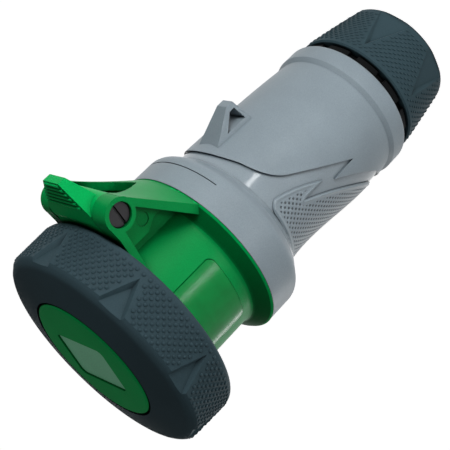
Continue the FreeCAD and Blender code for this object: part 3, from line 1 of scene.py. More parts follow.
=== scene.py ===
# %% [markdown]
# Pin and sleeve connector with a hinged lid. The solids come from the CAD frame, in metres,
# standing on the cable end with Z up the axis and X towards the hinge. This notebook gives
# them their plastics, rubber and metals, adds the grip pads' dimples and the small raised
# knobs and ribs that the solids leave out, and lights and frames the part as in the
# photograph.
#
# The first cell loads the frame, with every node's mesh in world coordinates, and a helper that
# measures a node's box.

# %% Load the frame
import math

import bmesh
import bpy
from mathutils import Matrix, Vector
from mathutils.bvhtree import BVHTree


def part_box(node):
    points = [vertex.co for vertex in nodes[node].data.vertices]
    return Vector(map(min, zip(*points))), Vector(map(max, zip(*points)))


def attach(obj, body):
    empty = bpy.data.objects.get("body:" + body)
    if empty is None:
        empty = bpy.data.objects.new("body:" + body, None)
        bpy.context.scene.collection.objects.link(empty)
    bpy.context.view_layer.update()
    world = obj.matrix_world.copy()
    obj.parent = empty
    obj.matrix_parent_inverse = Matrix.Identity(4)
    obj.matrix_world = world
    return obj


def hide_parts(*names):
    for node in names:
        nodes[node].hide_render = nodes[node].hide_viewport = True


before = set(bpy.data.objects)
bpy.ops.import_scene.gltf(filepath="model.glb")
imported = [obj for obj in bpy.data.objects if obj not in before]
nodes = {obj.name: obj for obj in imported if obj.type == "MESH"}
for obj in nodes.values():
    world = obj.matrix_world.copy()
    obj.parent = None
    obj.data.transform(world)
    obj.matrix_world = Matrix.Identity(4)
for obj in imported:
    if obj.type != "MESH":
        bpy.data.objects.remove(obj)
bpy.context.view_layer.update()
MM = 0.001

# %% [markdown]
# The camera stands on the hinge side, a little above the lid, and is rolled so that the
# upright connector lies diagonally across the picture, with its lid at the lower left. Its
# place and its three directions were solved from the ellipses of the ring, the collar and
# the nut.

# %% Camera
CAMERA_PLACE = (362.8, -517.8, 446.5)
CAMERA_RIGHT = (-0.41876, -0.64155, -0.64269)
CAMERA_UP = (0.74192, 0.16639, -0.64952)
CAMERA_LENS = 96.0
SENSOR_WIDTH = 36.0

right = Vector(CAMERA_RIGHT).normalized()
up = Vector(CAMERA_UP)
up = (up - right * up.dot(right)).normalized()
back = right.cross(up)
camera = bpy.data.objects.new("camera", bpy.data.cameras.new("camera"))
camera.data.lens = CAMERA_LENS
camera.data.sensor_width = SENSOR_WIDTH
camera.matrix_world = Matrix((
    (right.x, up.x, back.x, CAMERA_PLACE[0] * MM),
    (right.y, up.y, back.y, CAMERA_PLACE[1] * MM),
    (right.z, up.z, back.z, CAMERA_PLACE[2] * MM),
    (0, 0, 0, 1),
))
bpy.context.scene.collection.objects.link(camera)
bpy.context.scene.camera = camera
print("camera", [round(v, 3) for v in camera.location])

# %% [markdown]
# Colours are written as the sRGB hex values that a painter would pick from a screen, and one
# function turns them into the linear numbers that Blender mixes. A second small function adds
# a shader node with its settings and its links, so that each material below reads as a list
# of what it is made of.

# %% Colour and node helpers
def linear(hex_colour):
    """sRGB hex to a linear colour with alpha."""
    values = [int(hex_colour[i:i + 2], 16) / 255 for i in (1, 3, 5)]
    return tuple(v / 12.92 if v <= 0.04045 else ((v + 0.055) / 1.055) ** 2.4
                 for v in values) + (1.0,)


def add_node(tree, kind, settings=None, links=None):
    """Adds a node: settings are its own fields or its inputs, links are outputs to join."""
    node = tree.nodes.new(kind)
    for name, value in (settings or {}).items():
        if isinstance(name, str) and hasattr(node, name):
            setattr(node, name, value)
        else:
            node.inputs[name].default_value = value
    for name, source in (links or {}).items():
        tree.links.new(source, node.inputs[name])
    return node


def new_material(name):
    """An empty node material with its output, its shader and the object's coordinates."""
    material = bpy.data.materials.new(name)
    material.use_nodes = True
    tree = material.node_tree
    tree.nodes.clear()
    shader = add_node(tree, "ShaderNodeBsdfPrincipled")
    add_node(tree, "ShaderNodeOutputMaterial", links={"Surface": shader.outputs["BSDF"]})
    place = add_node(tree, "ShaderNodeTexCoord").outputs["Object"]
    return material, tree, shader, place


print("slate", [round(v, 3) for v in linear("#3a4a52")])

# %% [markdown]
# Almost everything outside is injection-moulded polyamide. Its skin copies the eroded steel of
# the mould: a fine grain of some tenths of a millimetre that scatters the highlight, with a
# slow change of tone from the flow of the melt. Corners and grooves get painted shade: an
# ambient occlusion node finds them and darkens the colour towards a shade colour. The mould's
# small radii are drawn by the Bevel node, so that sharp solid edges still catch a thin light.
# The lid gets a paler copy of the barrel's green, painted light, because its face is turned
# away from the lamps and would come out too dark in the barrel's green.

# %% Moulded plastic
GRAIN_DETAIL = 2.0
FLOW_SIZE = 30.0
FLOW_SPREAD = (0.3, 0.7)
FLOW_TONES = (0.94, 1.05)
GRAIN_SPREAD = (0.25, 0.75)
GRAIN_TONES = (0.9, 1.09)
CORNER_SPREAD = (0.3, 0.96)
CORNER_SAMPLES = 8
EDGE_SAMPLES = 4


def moulded_plastic(name, colour, shade, roughness, gloss, grain, relief, edge, shade_reach):
    """Moulded plastic with painted shade in its corners: colours, roughness, reflection level,
    and sizes in millimetres.
    """
    material, tree, shader, place = new_material(name)
    flow = add_node(tree, "ShaderNodeTexNoise", {
        "Scale": 1 / (FLOW_SIZE * MM), "Detail": GRAIN_DETAIL}, {"Vector": place})
    speckle = add_node(tree, "ShaderNodeTexNoise", {
        "Scale": 1 / (grain * MM), "Detail": GRAIN_DETAIL}, {"Vector": place})
    tone = add_node(tree, "ShaderNodeMapRange", {
        "From Min": FLOW_SPREAD[0], "From Max": FLOW_SPREAD[1],
        "To Min": FLOW_TONES[0], "To Max": FLOW_TONES[1]},
        {"Value": flow.outputs["Fac"]})
    spots = add_node(tree, "ShaderNodeMapRange", {
        "From Min": GRAIN_SPREAD[0], "From Max": GRAIN_SPREAD[1],
        "To Min": GRAIN_TONES[0], "To Max": GRAIN_TONES[1]},
        {"Value": speckle.outputs["Fac"]})
    tones = add_node(tree, "ShaderNodeMath", {"operation": "MULTIPLY"},
                     {0: tone.outputs["Result"], 1: spots.outputs["Result"]})
    # painted shade: ambient occlusion darkens the colour towards the shade colour in corners
    # and grooves
    corner = add_node(tree, "ShaderNodeAmbientOcclusion", {
        "samples": CORNER_SAMPLES, "only_local": False, "Distance": shade_reach * MM})
    depth = add_node(tree, "ShaderNodeMapRange", {
        "From Min": CORNER_SPREAD[0], "From Max": CORNER_SPREAD[1],
        "To Min": 0.0, "To Max": 1.0},
        {"Value": corner.outputs["AO"]})
    shaded = add_node(tree, "ShaderNodeMix", {
        "data_type": "RGBA", 6: linear(shade), 7: linear(colour)}, {0: depth.outputs["Result"]})
    toned = add_node(tree, "ShaderNodeVectorMath", {"operation": "SCALE"},
                     {0: shaded.outputs[2], "Scale": tones.outputs[0]})
    rounded = add_node(tree, "ShaderNodeBevel", {
        "samples": EDGE_SAMPLES, "Radius": edge * MM})
    bump = add_node(tree, "ShaderNodeBump", {"Strength": 1.0, "Distance": relief * MM}, {
        "Height": speckle.outputs["Fac"], "Normal": rounded.outputs["Normal"]})
    tree.links.new(toned.outputs[0], shader.inputs["Base Color"])
    tree.links.new(bump.outputs["Normal"], shader.inputs["Normal"])
    shader.inputs["Roughness"].default_value = roughness
    shader.inputs["Specular IOR Level"].default_value = gloss
    return material


grey_polyamide = moulded_plastic(
    "grey moulded polyamide", "#88959d", "#37424a",
    roughness=0.42, gloss=0.3, grain=0.55, relief=0.05, edge=0.5, shade_reach=2.5)
green_polyamide = moulded_plastic(
    "green moulded polyamide", "#009046", "#002a12",
    roughness=0.4, gloss=0.09, grain=0.7, relief=0.07, edge=0.5, shade_reach=7.0)
# painted light: a paler copy of the barrel's green, for the lid's face, which is turned from
# the lamps, and for the flange's lip as a painted highlight
green_painted_lighter = moulded_plastic(
    "green polyamide painted lighter", "#00b45a", "#003a1a",
    roughness=0.4, gloss=0.05, grain=0.7, relief=0.05, edge=0.5, shade_reach=4.0)
slate_polyamide = moulded_plastic(
    "slate moulded polyamide", "#384b52", "#0a0f11",
    roughness=0.5, gloss=0.04, grain=0.5, relief=0.04, edge=0.5, shade_reach=3.5)
black_polyamide = moulded_plastic(
    "black moulded polyamide", "#07090a", "#010101",
    roughness=0.45, gloss=0.06, grain=0.5, relief=0.03, edge=0.3, shade_reach=4.0)
carrier_polyester = moulded_plastic(
    "dark grey moulded polyester", "#2a2e31", "#0a0c0d",
    roughness=0.5, gloss=0.3, grain=0.5, relief=0.03, edge=0.3, shade_reach=3.0)
print("moulded plastics made")

# %% [markdown]
# The marking plate on the barrel and the label window in the lid are smooth and glossy: they
# come from polished moulds, so they have hardly any grain, and long soft highlights. The
# window is a thin milky film over a pale label. The screw of the hinge is blackened steel.

# %% Glossy plate, window film and screw
plate_gloss = moulded_plastic(
    "green polished plate", "#00863d", "#004a22",
    roughness=0.22, gloss=0.14, grain=6.0, relief=0.02, edge=0.3, shade_reach=2.0)
window_film = moulded_plastic(
    "pale window film", "#98efbe", "#5c9675",
    roughness=0.35, gloss=0.12, grain=0.9, relief=0.02, edge=0.3, shade_reach=0.6)
screw_black = moulded_plastic(
    "blackened steel", "#2b2a2d", "#050505",
    roughness=0.4, gloss=0.25, grain=0.8, relief=0.03, edge=0.3, shade_reach=1.5)
print("plate, window and screw made")

# %% [markdown]
# Rubber is matte and slightly dusty. Brass contacts are turned, so their fine lines run round
# each contact, and the small steel parts are zinc plated. A metal keeps the default IOR, and
# its colour is what it reflects.

# %% Rubber and metals
LINE_WAVER = 0.4
LINE_DEPTH = 0.02
LINE_STRENGTH = 0.5
BLOTCH_SIZE = 3.0
POLISHED = 0.8
DULLED = 1.3


def turned_metal(name, colour, roughness, line_pitch):
    """Metal with fine tool marks across its axis, line_pitch apart in millimetres."""
    material, tree, shader, place = new_material(name)
    lines = add_node(tree, "ShaderNodeTexWave", {
        "bands_direction": "Z", "Scale": 1 / (line_pitch * MM * 2 * math.pi),
        "Distortion": LINE_WAVER, "Detail": 1.0}, {"Vector": place})
    blotches = add_node(tree, "ShaderNodeTexNoise", {"Scale": 1 / (BLOTCH_SIZE * MM)},
                        {"Vector": place})
    dull = add_node(tree, "ShaderNodeMapRange", {
        "To Min": roughness * POLISHED, "To Max": roughness * DULLED},
        {"Value": blotches.outputs["Fac"]})
    bump = add_node(tree, "ShaderNodeBump", {
        "Strength": LINE_STRENGTH, "Distance": LINE_DEPTH * MM},
        {"Height": lines.outputs["Fac"]})
    tree.links.new(dull.outputs["Result"], shader.inputs["Roughness"])
    tree.links.new(bump.outputs["Normal"], shader.inputs["Normal"])
    shader.inputs["Base Color"].default_value = linear(colour)
    shader.inputs["Metallic"].default_value = 1.0
    return material


seal_rubber = moulded_plastic(
    "black seal rubber", "#17181a", "#050505",
    roughness=0.7, gloss=0.25, grain=0.4, relief=0.04, edge=0.2, shade_reach=2.0)
turned_brass = turned_metal("turned brass", "#d8bd7a", roughness=0.28, line_pitch=0.5)
zinc_steel = turned_metal("zinc plated steel", "#b9bbbd", roughness=0.32, line_pitch=0.4)
print("rubber and metals made")

# %% [markdown]
# A CAD node is a mesh of loose triangles with flat faces. It keeps its shape here. A Weld
# modifier joins the triangles, an Edge Split keeps the real edges sharp and a Weighted Normal
# makes the turned and moulded surfaces in between run smoothly, so that highlights don't show
# the triangles.

# %% Dress the CAD nodes
CREASE_ANGLE = math.radians(32)
WELD_DISTANCE = 0.001 * MM


def smooth_finish(piece):
    """Smooth shading between the real edges, without a change to the mesh itself."""
    custom = piece.data.attributes.get("custom_normal")
    if custom is not None:
        piece.data.attributes.remove(custom)
    piece.data.shade_smooth()
    weld = piece.modifiers.new("join triangles", "WELD")
    weld.merge_threshold = WELD_DISTANCE
    split = piece.modifiers.new("keep edges", "EDGE_SPLIT")
    split.split_angle = CREASE_ANGLE
    split.use_edge_sharp = False
    even = piece.modifiers.new("even normals", "WEIGHTED_NORMAL")
    even.keep_sharp = True


FINISHES = {
    grey_polyamide: ["handle_housing"],
    green_polyamide: ["front_housing"],
    green_painted_lighter: ["lid"],
    plate_gloss: ["marking_plate"],
    window_film: ["lid_window"],
    slate_polyamide: ["lock_ring", "gland_nut"],
    black_polyamide: ["gland_body", "clamping_cage", "ring_retainer"],
    carrier_polyester: ["contact_carrier", "contact_insert", "contact_face",
                        "carrier_back_plate"],
    seal_rubber: ["lid_seal", "housing_seal", "shroud_seal", "gland_grommet"],
    turned_brass: ["contact_pe", "contact_l1", "contact_l2", "contact_l3", "contact_n",
                   "contact_pilot"],
    zinc_steel: ["terminal_screws", "sleeve_springs", "carrier_screws", "hinge_spring"],
    screw_black: ["hinge_pin"],
}
for material, names in FINISHES.items():
    for name in names:
        nodes[name].data.materials.clear()
        nodes[name].data.materials.append(material)
        smooth_finish(nodes[name])
    print(material.name, names)

# %% [markdown]
# The barrel's flange has a bevelled lip that catches the light, a thin shadow line where it
# meets the collar, and a cone between the lip and the barrel that lies in deep shade under the
# ring. Each is a ring of triangles, so it is found by its height above the flange's foot, its
# distance from the axis and its slope, and gets a material of its own: the lip the paler green
# as a painted highlight, the joint a near black, and the cone a darker green as painted shade.

# %% Lip and cone of the flange
FLANGE_FOOT = 190.2
LIP_START = 0.35
LIP_END = 1.35
FLANGE_END = 9.2
LIP_RADIUS = 54.3
CONE_SLOPE = 0.6
LIP_SLOT = 1
CONE_SLOT = 2
JOINT_SLOT = 3

# painted shade: the cone under the ring gets a darker green
cone_painted_shade = moulded_plastic(
    "green polyamide with painted shade", "#006a33", "#002410",
    roughness=0.45, gloss=0.05, grain=0.7, relief=0.05, edge=0.5, shade_reach=5.0)
joint_shade = moulded_plastic(
    "dark joint line", "#0a1410", "#020403",
    roughness=0.6, gloss=0.05, grain=0.7, relief=0.02, edge=0.2, shade_reach=2.0)
front = nodes["front_housing"].data
for material in (green_painted_lighter, cone_painted_shade, joint_shade):
    front.materials.append(material)
# the lip takes the paler green as a painted highlight, the cone the darker green as painted
# shade
for face in front.polygons:
    rise = face.center.z / MM - FLANGE_FOOT
    if not 0 < rise < FLANGE_END:
        continue
    if rise < LIP_START and face.center.xy.length > LIP_RADIUS * MM:
        face.material_index = JOINT_SLOT
    elif rise < LIP_END and face.center.xy.length > LIP_RADIUS * MM:
        face.material_index = LIP_SLOT
    elif face.normal.z > CONE_SLOPE and face.center.xy.length < LIP_RADIUS * MM:
        face.material_index = CONE_SLOT
slots = [face.material_index for face in front.polygons]
print("lip", slots.count(LIP_SLOT), "cone", slots.count(CONE_SLOT),
      "joint", slots.count(JOINT_SLOT))

# %% [markdown]
# The handle is one moulding with three kinds of surface. The hood, the rear and the collar
# are finely eroded and matte, the neck comes from a smoother part of the mould, and the grip
# pads are dimpled. The borders are steps in the solid, drawn by two outlines seen from the
# side. The neck is every triangle below the collar whose middle lies outside both. Arcs are
# given by a radius, positive when the centre is on the left.

# %% Regions of the handle
NECK_END = 164.2
NECK_SLOT = 1
ARC_STEPS = 16
TINY = 1e-9
HOOD_OUTLINE = [
    (60.0, 163.2, 0), (60.0, 50.4, 0), (-59.0, 50.4, 0), (-59.0, 68.2, 0), (-44.0, 68.2, 40),
    (-20.5, 82.2, 150), (-0.5, 112.8, 0), (0.8, 95.7, 0), (21.3, 135.6, -29.1),
    (39.9, 151.6, 0),
]
PAD_OUTLINE = [
    (-75.0, 158.2, 0), (12.5, 158.2, -6.5), (17.9, 152.2, -108), (4.6, 120.0, 0),
    (4.1, 136.6, -205), (-28.0, 84.3, -30), (-42.0, 77.2, 0), (-75.0, 77.2, 0),
]


def trace(rows):
    """Outline rows (x, z, radius of the arc to the next row) as a list of points."""
    points = []
    for row, (x, z, radius) in enumerate(rows):
        start = Vector((x, z))
        points.append(start)
        if not radius:
            continue
        end = Vector(rows[(row + 1) % len(rows)][:2])
        chord = end - start
        height = math.sqrt(max(radius * radius - chord.length_squared / 4, 0))
        side = Vector((-chord.y, chord.x)).normalized() * math.copysign(height, radius)
        centre = (start + end) / 2 + side
        sweep = (start - centre).angle_signed(end - centre)
        for step in range(1, ARC_STEPS):
            turn = Matrix.Rotation(-sweep * step / ARC_STEPS, 2)
            points.append(centre + turn @ (start - centre))
    return points


def inside(x, z, points):
    """True when the point lies within the outline."""
    odd = False
    for number, here in enumerate(points):
        before = points[number - 1]
        if (here.y > z) != (before.y > z):
            odd ^= x < (before.x - here.x) * (z - here.y) / (before.y - here.y) + here.x
    return odd


def edge_distance(x, z, points):
    """Distance in millimetres from a point to the nearest side of the outline."""
    place = Vector((x, z))
    nearest = math.inf
    for number, here in enumerate(points):
        side = points[number - 1] - here
        share = max(0, min(1, (place - here).dot(side) / max(side.length_squared, TINY)))
        nearest = min(nearest, (place - here - side * share).length)
    return nearest


hood_points = trace(HOOD_OUTLINE)
pad_points = trace(PAD_OUTLINE)
smooth_grey = moulded_plastic(
    "smooth grey polyamide", "#89969e", "#37424a",
    roughness=0.16, gloss=0.5, grain=0.55, relief=0.006, edge=0.5, shade_reach=2.5)
handle = nodes["handle_housing"].data
handle.materials.append(smooth_grey)
for face in handle.polygons:
    x = face.center.x / MM
    z = face.center.z / MM
    if z < NECK_END and not inside(x, z, hood_points) and not inside(x, z, pad_points):
        face.material_index = NECK_SLOT
print("smooth faces", sum(face.material_index == NECK_SLOT for face in handle.polygons))

# %% [markdown]
# The grip pads carry round dimples 2.7 mm apart in a diamond grid, and a low rim runs along
# the pad's edge. They are too fine for the solid, so a skin, laid by ray cast on the handle,
# carries them. Its net of points follows the grid, eight steps to each repeat, so that every
# dimple has a point at its middle. The skin's edge is sunk in the solid, so that the line one
# sees is a smooth one. Its UV map is the unrolled surface in millimetres, and a point
# attribute holds the distance to the pad's edge.

# %% Skin of the grip pads
DIMPLE_PITCH = 2.7
DIMPLE_REPEAT = DIMPLE_PITCH * math.sqrt(2)
SKIN_STEP = DIMPLE_REPEAT / 8
SKIN_SUNK = 0.12
SKIN_HEIGHT = 0.34
RIM_HEIGHT = 0.2
DIMPLE_DEPTH = 0.32
DIMPLE_EDGE = (0.45, 0.85)
SKIN_RADIUS = 44.0
SKIN_FIRST = math.radians(60)
SKIN_LOW = 77.2
SKIN_HIGH = 158.2
SKIN_REACH = 90.0
HANDLE_INSIDE = 30.0
HANDLE_OUTSIDE = 55.0
DIMPLE_MARGIN = (3.0, 3.8)
RIM_RISE = (0.4, 1.0)
RIM_FALL = (1.6, 2.4)
SKIN_RISE = (0.3, 1.1)


def ease(value, start, end):
    """Smooth step from 0 at start to 1 at end."""
    share = max(0, min(1, (value - start) / (end - start)))
    return share * share * (3 - 2 * share)


def skin_lift(around, height, field):
    """Height in millimetres of the skin over the solid, field millimetres from its edge."""
    waves = [abs(math.sin(math.pi * (around + sign * height) / DIMPLE_REPEAT))
             for sign in (1, -1)]
    dimple = ease(waves[0] * waves[1], *DIMPLE_EDGE) * ease(field, *DIMPLE_MARGIN)
    rim = ease(field, *RIM_RISE) - ease(field, *RIM_FALL)
    rise = (SKIN_HEIGHT + SKIN_SUNK) * ease(field, *SKIN_RISE)
    return rise - SKIN_SUNK + RIM_HEIGHT * rim - DIMPLE_DEPTH * dimple


handle_tree = BVHTree.FromPolygons([v.co for v in handle.vertices],
                                   [f.vertices for f in handle.polygons])
first_column = math.ceil(SKIN_FIRST * SKIN_RADIUS / SKIN_STEP)
last_column = math.floor((2 * math.pi - SKIN_FIRST) * SKIN_RADIUS / SKIN_STEP)
corners = []
fields = []
grid = {}
for column in range(first_column, last_column + 1):
    around = column * SKIN_STEP
    angle = around / SKIN_RADIUS
    outward = Vector((math.cos(angle), math.sin(angle), 0))
    for row in range(math.ceil(SKIN_LOW / SKIN_STEP), math.floor(SKIN_HIGH / SKIN_STEP) + 1):
        height = row * SKIN_STEP
        start = outward * SKIN_REACH * MM + Vector((0, 0, height * MM))
        hit = handle_tree.ray_cast(start, -outward)[0]
        if hit is None or not HANDLE_INSIDE * MM <= hit.xy.length <= HANDLE_OUTSIDE * MM:
            continue
        x, z = hit.x / MM, hit.z / MM
        if not inside(x, z, pad_points):
            continue
        field = edge_distance(x, z, pad_points)
        grid[column, row] = len(corners)
        lift = skin_lift(around, height, field) * MM
        corners.append((hit + outward * lift, around, height))
        fields.append(field)
faces = []
for column, row in grid:
    around = [(column, row), (column + 1, row), (column + 1, row + 1), (column, row + 1)]
    if all(corner in grid for corner in around):
        faces.append([grid[corner] for corner in around])
skin_mesh = bpy.data.meshes.new("pad_skin")
skin_mesh.from_pydata([corner[0] for corner in corners], [], faces)
skin_mesh.shade_smooth()
unrolled = skin_mesh.uv_layers.new(name="unrolled")
for loop in skin_mesh.loops:
    unrolled.data[loop.index].uv = corners[loop.vertex_index][1:]
field_data = skin_mesh.attributes.new("edge_distance", "FLOAT", "POINT")
field_data.data.foreach_set("value", fields)
pad_skin = bpy.data.objects.new("pad_skin", skin_mesh)
bpy.context.scene.collection.objects.link(pad_skin)
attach(pad_skin, "housing")
print("pad skin faces", len(faces))

# %% [markdown]
# The skin's own surface already has the dimples and the rim. This finish follows the same
# product of two waves on the unrolled surface and the same distance to the edge. It paints
# shade into each pit's bottom, where the light doesn't reach, and a shallow bump sharpens the
# pits' walls and the rim.

# %% Dimpled finish
PIT_EDGE = (0.5, 0.8)
PIT_BUMP = 0.12
PIT_DARKNESS = 0.85
PIT_SHADE_COLOUR = "#2f383d"


def smooth_range(tree, value, limits, falling=False):
    """Smooth step of a value between two limits, from 0 to 1, or from 1 to 0."""
    return add_node(tree, "ShaderNodeMapRange", {
        "interpolation_type": "SMOOTHSTEP", "From Min": limits[0], "From Max": limits[1],
        "To Min": float(falling), "To Max": float(not falling)}, {"Value": value})


dimpled_grey = moulded_plastic(
    "dimpled grey polyamide", "#8a979f", "#37424a",
    roughness=0.3, gloss=0.35, grain=0.55, relief=0.02, edge=0.3, shade_reach=1.0)
tree = dimpled_grey.node_tree
shader = next(node for node in tree.nodes if node.type == "BSDF_PRINCIPLED")
grain_bump = next(node for node in tree.nodes if node.type == "BUMP")
plain_colour = shader.inputs["Base Color"].links[0].from_socket
flat = add_node(tree, "ShaderNodeUVMap", {"uv_map": "unrolled"})
split = add_node(tree, "ShaderNodeSeparateXYZ", links={0: flat.outputs[0]})
waves = []
for sign in (1, -1):
    across = add_node(tree, "ShaderNodeMath", {"operation": "MULTIPLY_ADD", 1: sign},
                      {0: split.outputs[1], 2: split.outputs[0]})
    phase = add_node(tree, "ShaderNodeMath", {
        "operation": "MULTIPLY", 1: math.pi / DIMPLE_REPEAT},
        {0: across.outputs[0]})
    wave = add_node(tree, "ShaderNodeMath", {"operation": "SINE"}, {0: phase.outputs[0]})
    waves.append(add_node(tree, "ShaderNodeMath", {"operation": "ABSOLUTE"},
                          {0: wave.outputs[0]}))
product = add_node(tree, "ShaderNodeMath", {"operation": "MULTIPLY"},
                   {0: waves[0].outputs[0], 1: waves[1].outputs[0]})
pit = smooth_range(tree, product.outputs[0], PIT_EDGE)
field = add_node(tree, "ShaderNodeAttribute", {"attribute_name": "edge_distance"})
margin = smooth_range(tree, field.outputs["Fac"], DIMPLE_MARGIN)
pits = add_node(tree, "ShaderNodeMath", {"operation": "MULTIPLY"},
                {0: pit.outputs["Result"], 1: margin.outputs["Result"]})
outer = smooth_range(tree, field.outputs["Fac"], RIM_RISE)
inner = smooth_range(tree, field.outputs["Fac"], RIM_FALL, falling=True)
rim = add_node(tree, "ShaderNodeMath", {"operation": "MULTIPLY"},
               {0: outer.outputs["Result"], 1: inner.outputs["Result"]})
relief = add_node(tree, "ShaderNodeMath", {"operation": "SUBTRACT"},
                  {0: rim.outputs[0], 1: pits.outputs[0]})
pit_bump = add_node(tree, "ShaderNodeBump", {"Strength": 1.0, "Distance": PIT_BUMP * MM},
                    {"Height": relief.outputs[0], "Normal": grain_bump.outputs[0]})
# painted shade in the bottom of each pit
pit_shade = add_node(tree, "ShaderNodeMath", {"operation": "MULTIPLY", 1: PIT_DARKNESS},
                     {0: pits.outputs[0]})
pit_shade_mix = add_node(tree, "ShaderNodeMix", {"data_type": "RGBA", 7: linear(PIT_SHADE_COLOUR)},
                      {0: pit_shade.outputs[0], 6: plain_colour})
tree.links.new(pit_shade_mix.outputs[2], shader.inputs["Base Color"])
tree.links.new(pit_bump.outputs["Normal"], shader.inputs["Normal"])
skin_mesh.materials.append(dimpled_grey)
print("dimples every", DIMPLE_PITCH, "mm")

# %% [markdown]
# The hinge screw's slot stands where the last turn of the screwdriver left it, so a copy of
# the screw is turned on its own axis and stands for the solid.

# %% Turn of the hinge screw
SCREW_TURN = math.radians(-25)

screw_mesh = nodes["hinge_pin"].data.copy()
screw = bpy.data.objects.new("turned_screw", screw_mesh)
bpy.context.scene.collection.objects.link(screw)
screw_low, screw_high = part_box("hinge_pin")
screw_middle = (screw_low + screw_high) / 2
turn = (Matrix.Translation(screw_middle) @ Matrix.Rotation(SCREW_TURN, 4, "Y")
        @ Matrix.Translation(-screw_middle))
screw_mesh.transform(turn @ nodes["hinge_pin"].matrix_world)
smooth_finish(screw)
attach(screw, "housing")
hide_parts("hinge_pin")
print("screw turned", round(math.degrees(SCREW_TURN)))

# %% [markdown]
# The lock ring's grip fields carry small round knobs in a diamond grid, between the eight
# triangular facets. Each knob is a low dome, the upper half of a flattened ball, that stands
# on the ring's side. The grid is laid out on the unrolled cylinder, and knobs that would
# touch a facet are left out.

# %% Knobs of the lock ring
FACET_COUNT = 8
FACET_PITCH = math.radians(360 / FACET_COUNT)
FACET_APEX = 28.7
FACET_OPENING = math.radians(8.4) / 24.2
KNOB_COLUMNS = 96
KNOB_ROWS = 11
KNOB_START = 9.8
KNOB_STEP = 2.2
KNOB_MARGIN = math.radians(2.2)
KNOB_RADIUS = 1.15
KNOB_HEIGHT = 0.6
FACET_MARGIN_END = FACET_APEX + 2
DOME_SEGMENTS = 8
DOME_RINGS = 6
DOME_CUT = -0.2
RING_FRONT_RADIUS = 67.7
RING_BACK_RADIUS = 68.3
RING_ROUND_END = 8.6
RING_BACK = 33.5

lid_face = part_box("lid")[1].z


def dome_shape():
    """Corners and faces of a unit dome, with few faces as there are hundreds of domes."""
    dome = bmesh.new()
    bmesh.ops.create_uvsphere(dome, u_segments=DOME_SEGMENTS, v_segments=DOME_RINGS,
                              radius=1.0)
    under = [vertex for vertex in dome.verts if vertex.co.z < DOME_CUT]
    bmesh.ops.delete(dome, geom=under, context="VERTS")
    corners = [vertex.co.copy() for vertex in dome.verts]
    faces = [[vertex.index for vertex in face.verts] for face in dome.faces]
    dome.free()
    return corners, faces


DOME_CORNERS, DOME_FACES = dome_shape()


def add_knob(shape, place, outward, across, size):
    """One low dome: place is its foot, outward its normal, size (long, wide, high) in mm."""
    third = outward.cross(across).normalized()
    corners, faces = shape
    first = len(corners)
    for corner in DOME_CORNERS:
        corners.append(place + (across * corner.x * size[0] + third * corner.y * size[1]
                                + outward * corner.z * size[2]) * MM)
    faces.extend([first + number for number in face] for face in DOME_FACES)


def finish_piece(shape, name, material, body):
    """Turns corners and faces into a smooth piece with its finish, riding on a CAD body."""
    mesh = bpy.data.meshes.new(name)
    mesh.from_pydata(shape[0], [], shape[1])
    mesh.shade_smooth()
    mesh.materials.append(material)
    piece = bpy.data.objects.new(name, mesh)
    bpy.context.scene.collection.objects.link(piece)
    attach(piece, body)


def ring_radius(drop):
    """Radius of the ring's side, drop millimetres behind the lid's face."""
    share = (drop - RING_ROUND_END) / (RING_BACK - RING_ROUND_END)
    return RING_FRONT_RADIUS + (RING_BACK_RADIUS - RING_FRONT_RADIUS) * max(share, 0)


knobs = [], []
count = 0
for row in range(KNOB_ROWS):
    drop = KNOB_START + row * KNOB_STEP
    for column in range(KNOB_COLUMNS):
        angle = 2 * math.pi * (column + (row % 2) / 2) / KNOB_COLUMNS
        from_facet = abs((angle + FACET_PITCH / 2) % FACET_PITCH - FACET_PITCH / 2)
        margin = KNOB_MARGIN if drop < FACET_MARGIN_END else 0
        if from_facet < max(FACET_APEX - drop, 0) * FACET_OPENING + margin:
            continue
        outward = Vector((math.cos(angle), math.sin(angle), 0))
        place = outward * ring_radius(drop) * MM
        place.z = lid_face - drop * MM
        add_knob(knobs, place, outward, Vector((0, 0, 1)),
                 (KNOB_RADIUS, KNOB_RADIUS, KNOB_HEIGHT))
        count += 1
finish_piece(knobs, "ring_knobs", slate_polyamide, "lock_ring")
print("ring knobs", count)

# %% [markdown]
# The gland nut has the same idea in a finer grid: short slanted ribs on its cone, between six
# longer facets that run out at the cable end.

# %% Ribs of the gland nut
NUT_FACETS = 6
NUT_TURN = math.radians(-30.5)
NUT_PITCH = math.radians(360 / NUT_FACETS)
NUT_APEX = 36.0
NUT_OPENING = 10.8 / 33.0
NUT_MARGIN = 1.6
NUT_COLUMNS = 60
NUT_ROWS = 17
NUT_ROW_START = 6.4
NUT_ROW_STEP = 2.05
NUT_LOW_RADIUS = 37.0
NUT_HIGH_RADIUS = 42.4
NUT_LOW = 3.2
NUT_HIGH = 42.2
RIB_SIZE = (1.3, 0.62, 0.5)
RIB_SLANT = math.radians(28)
NUT_MARGIN_END = NUT_APEX + 1

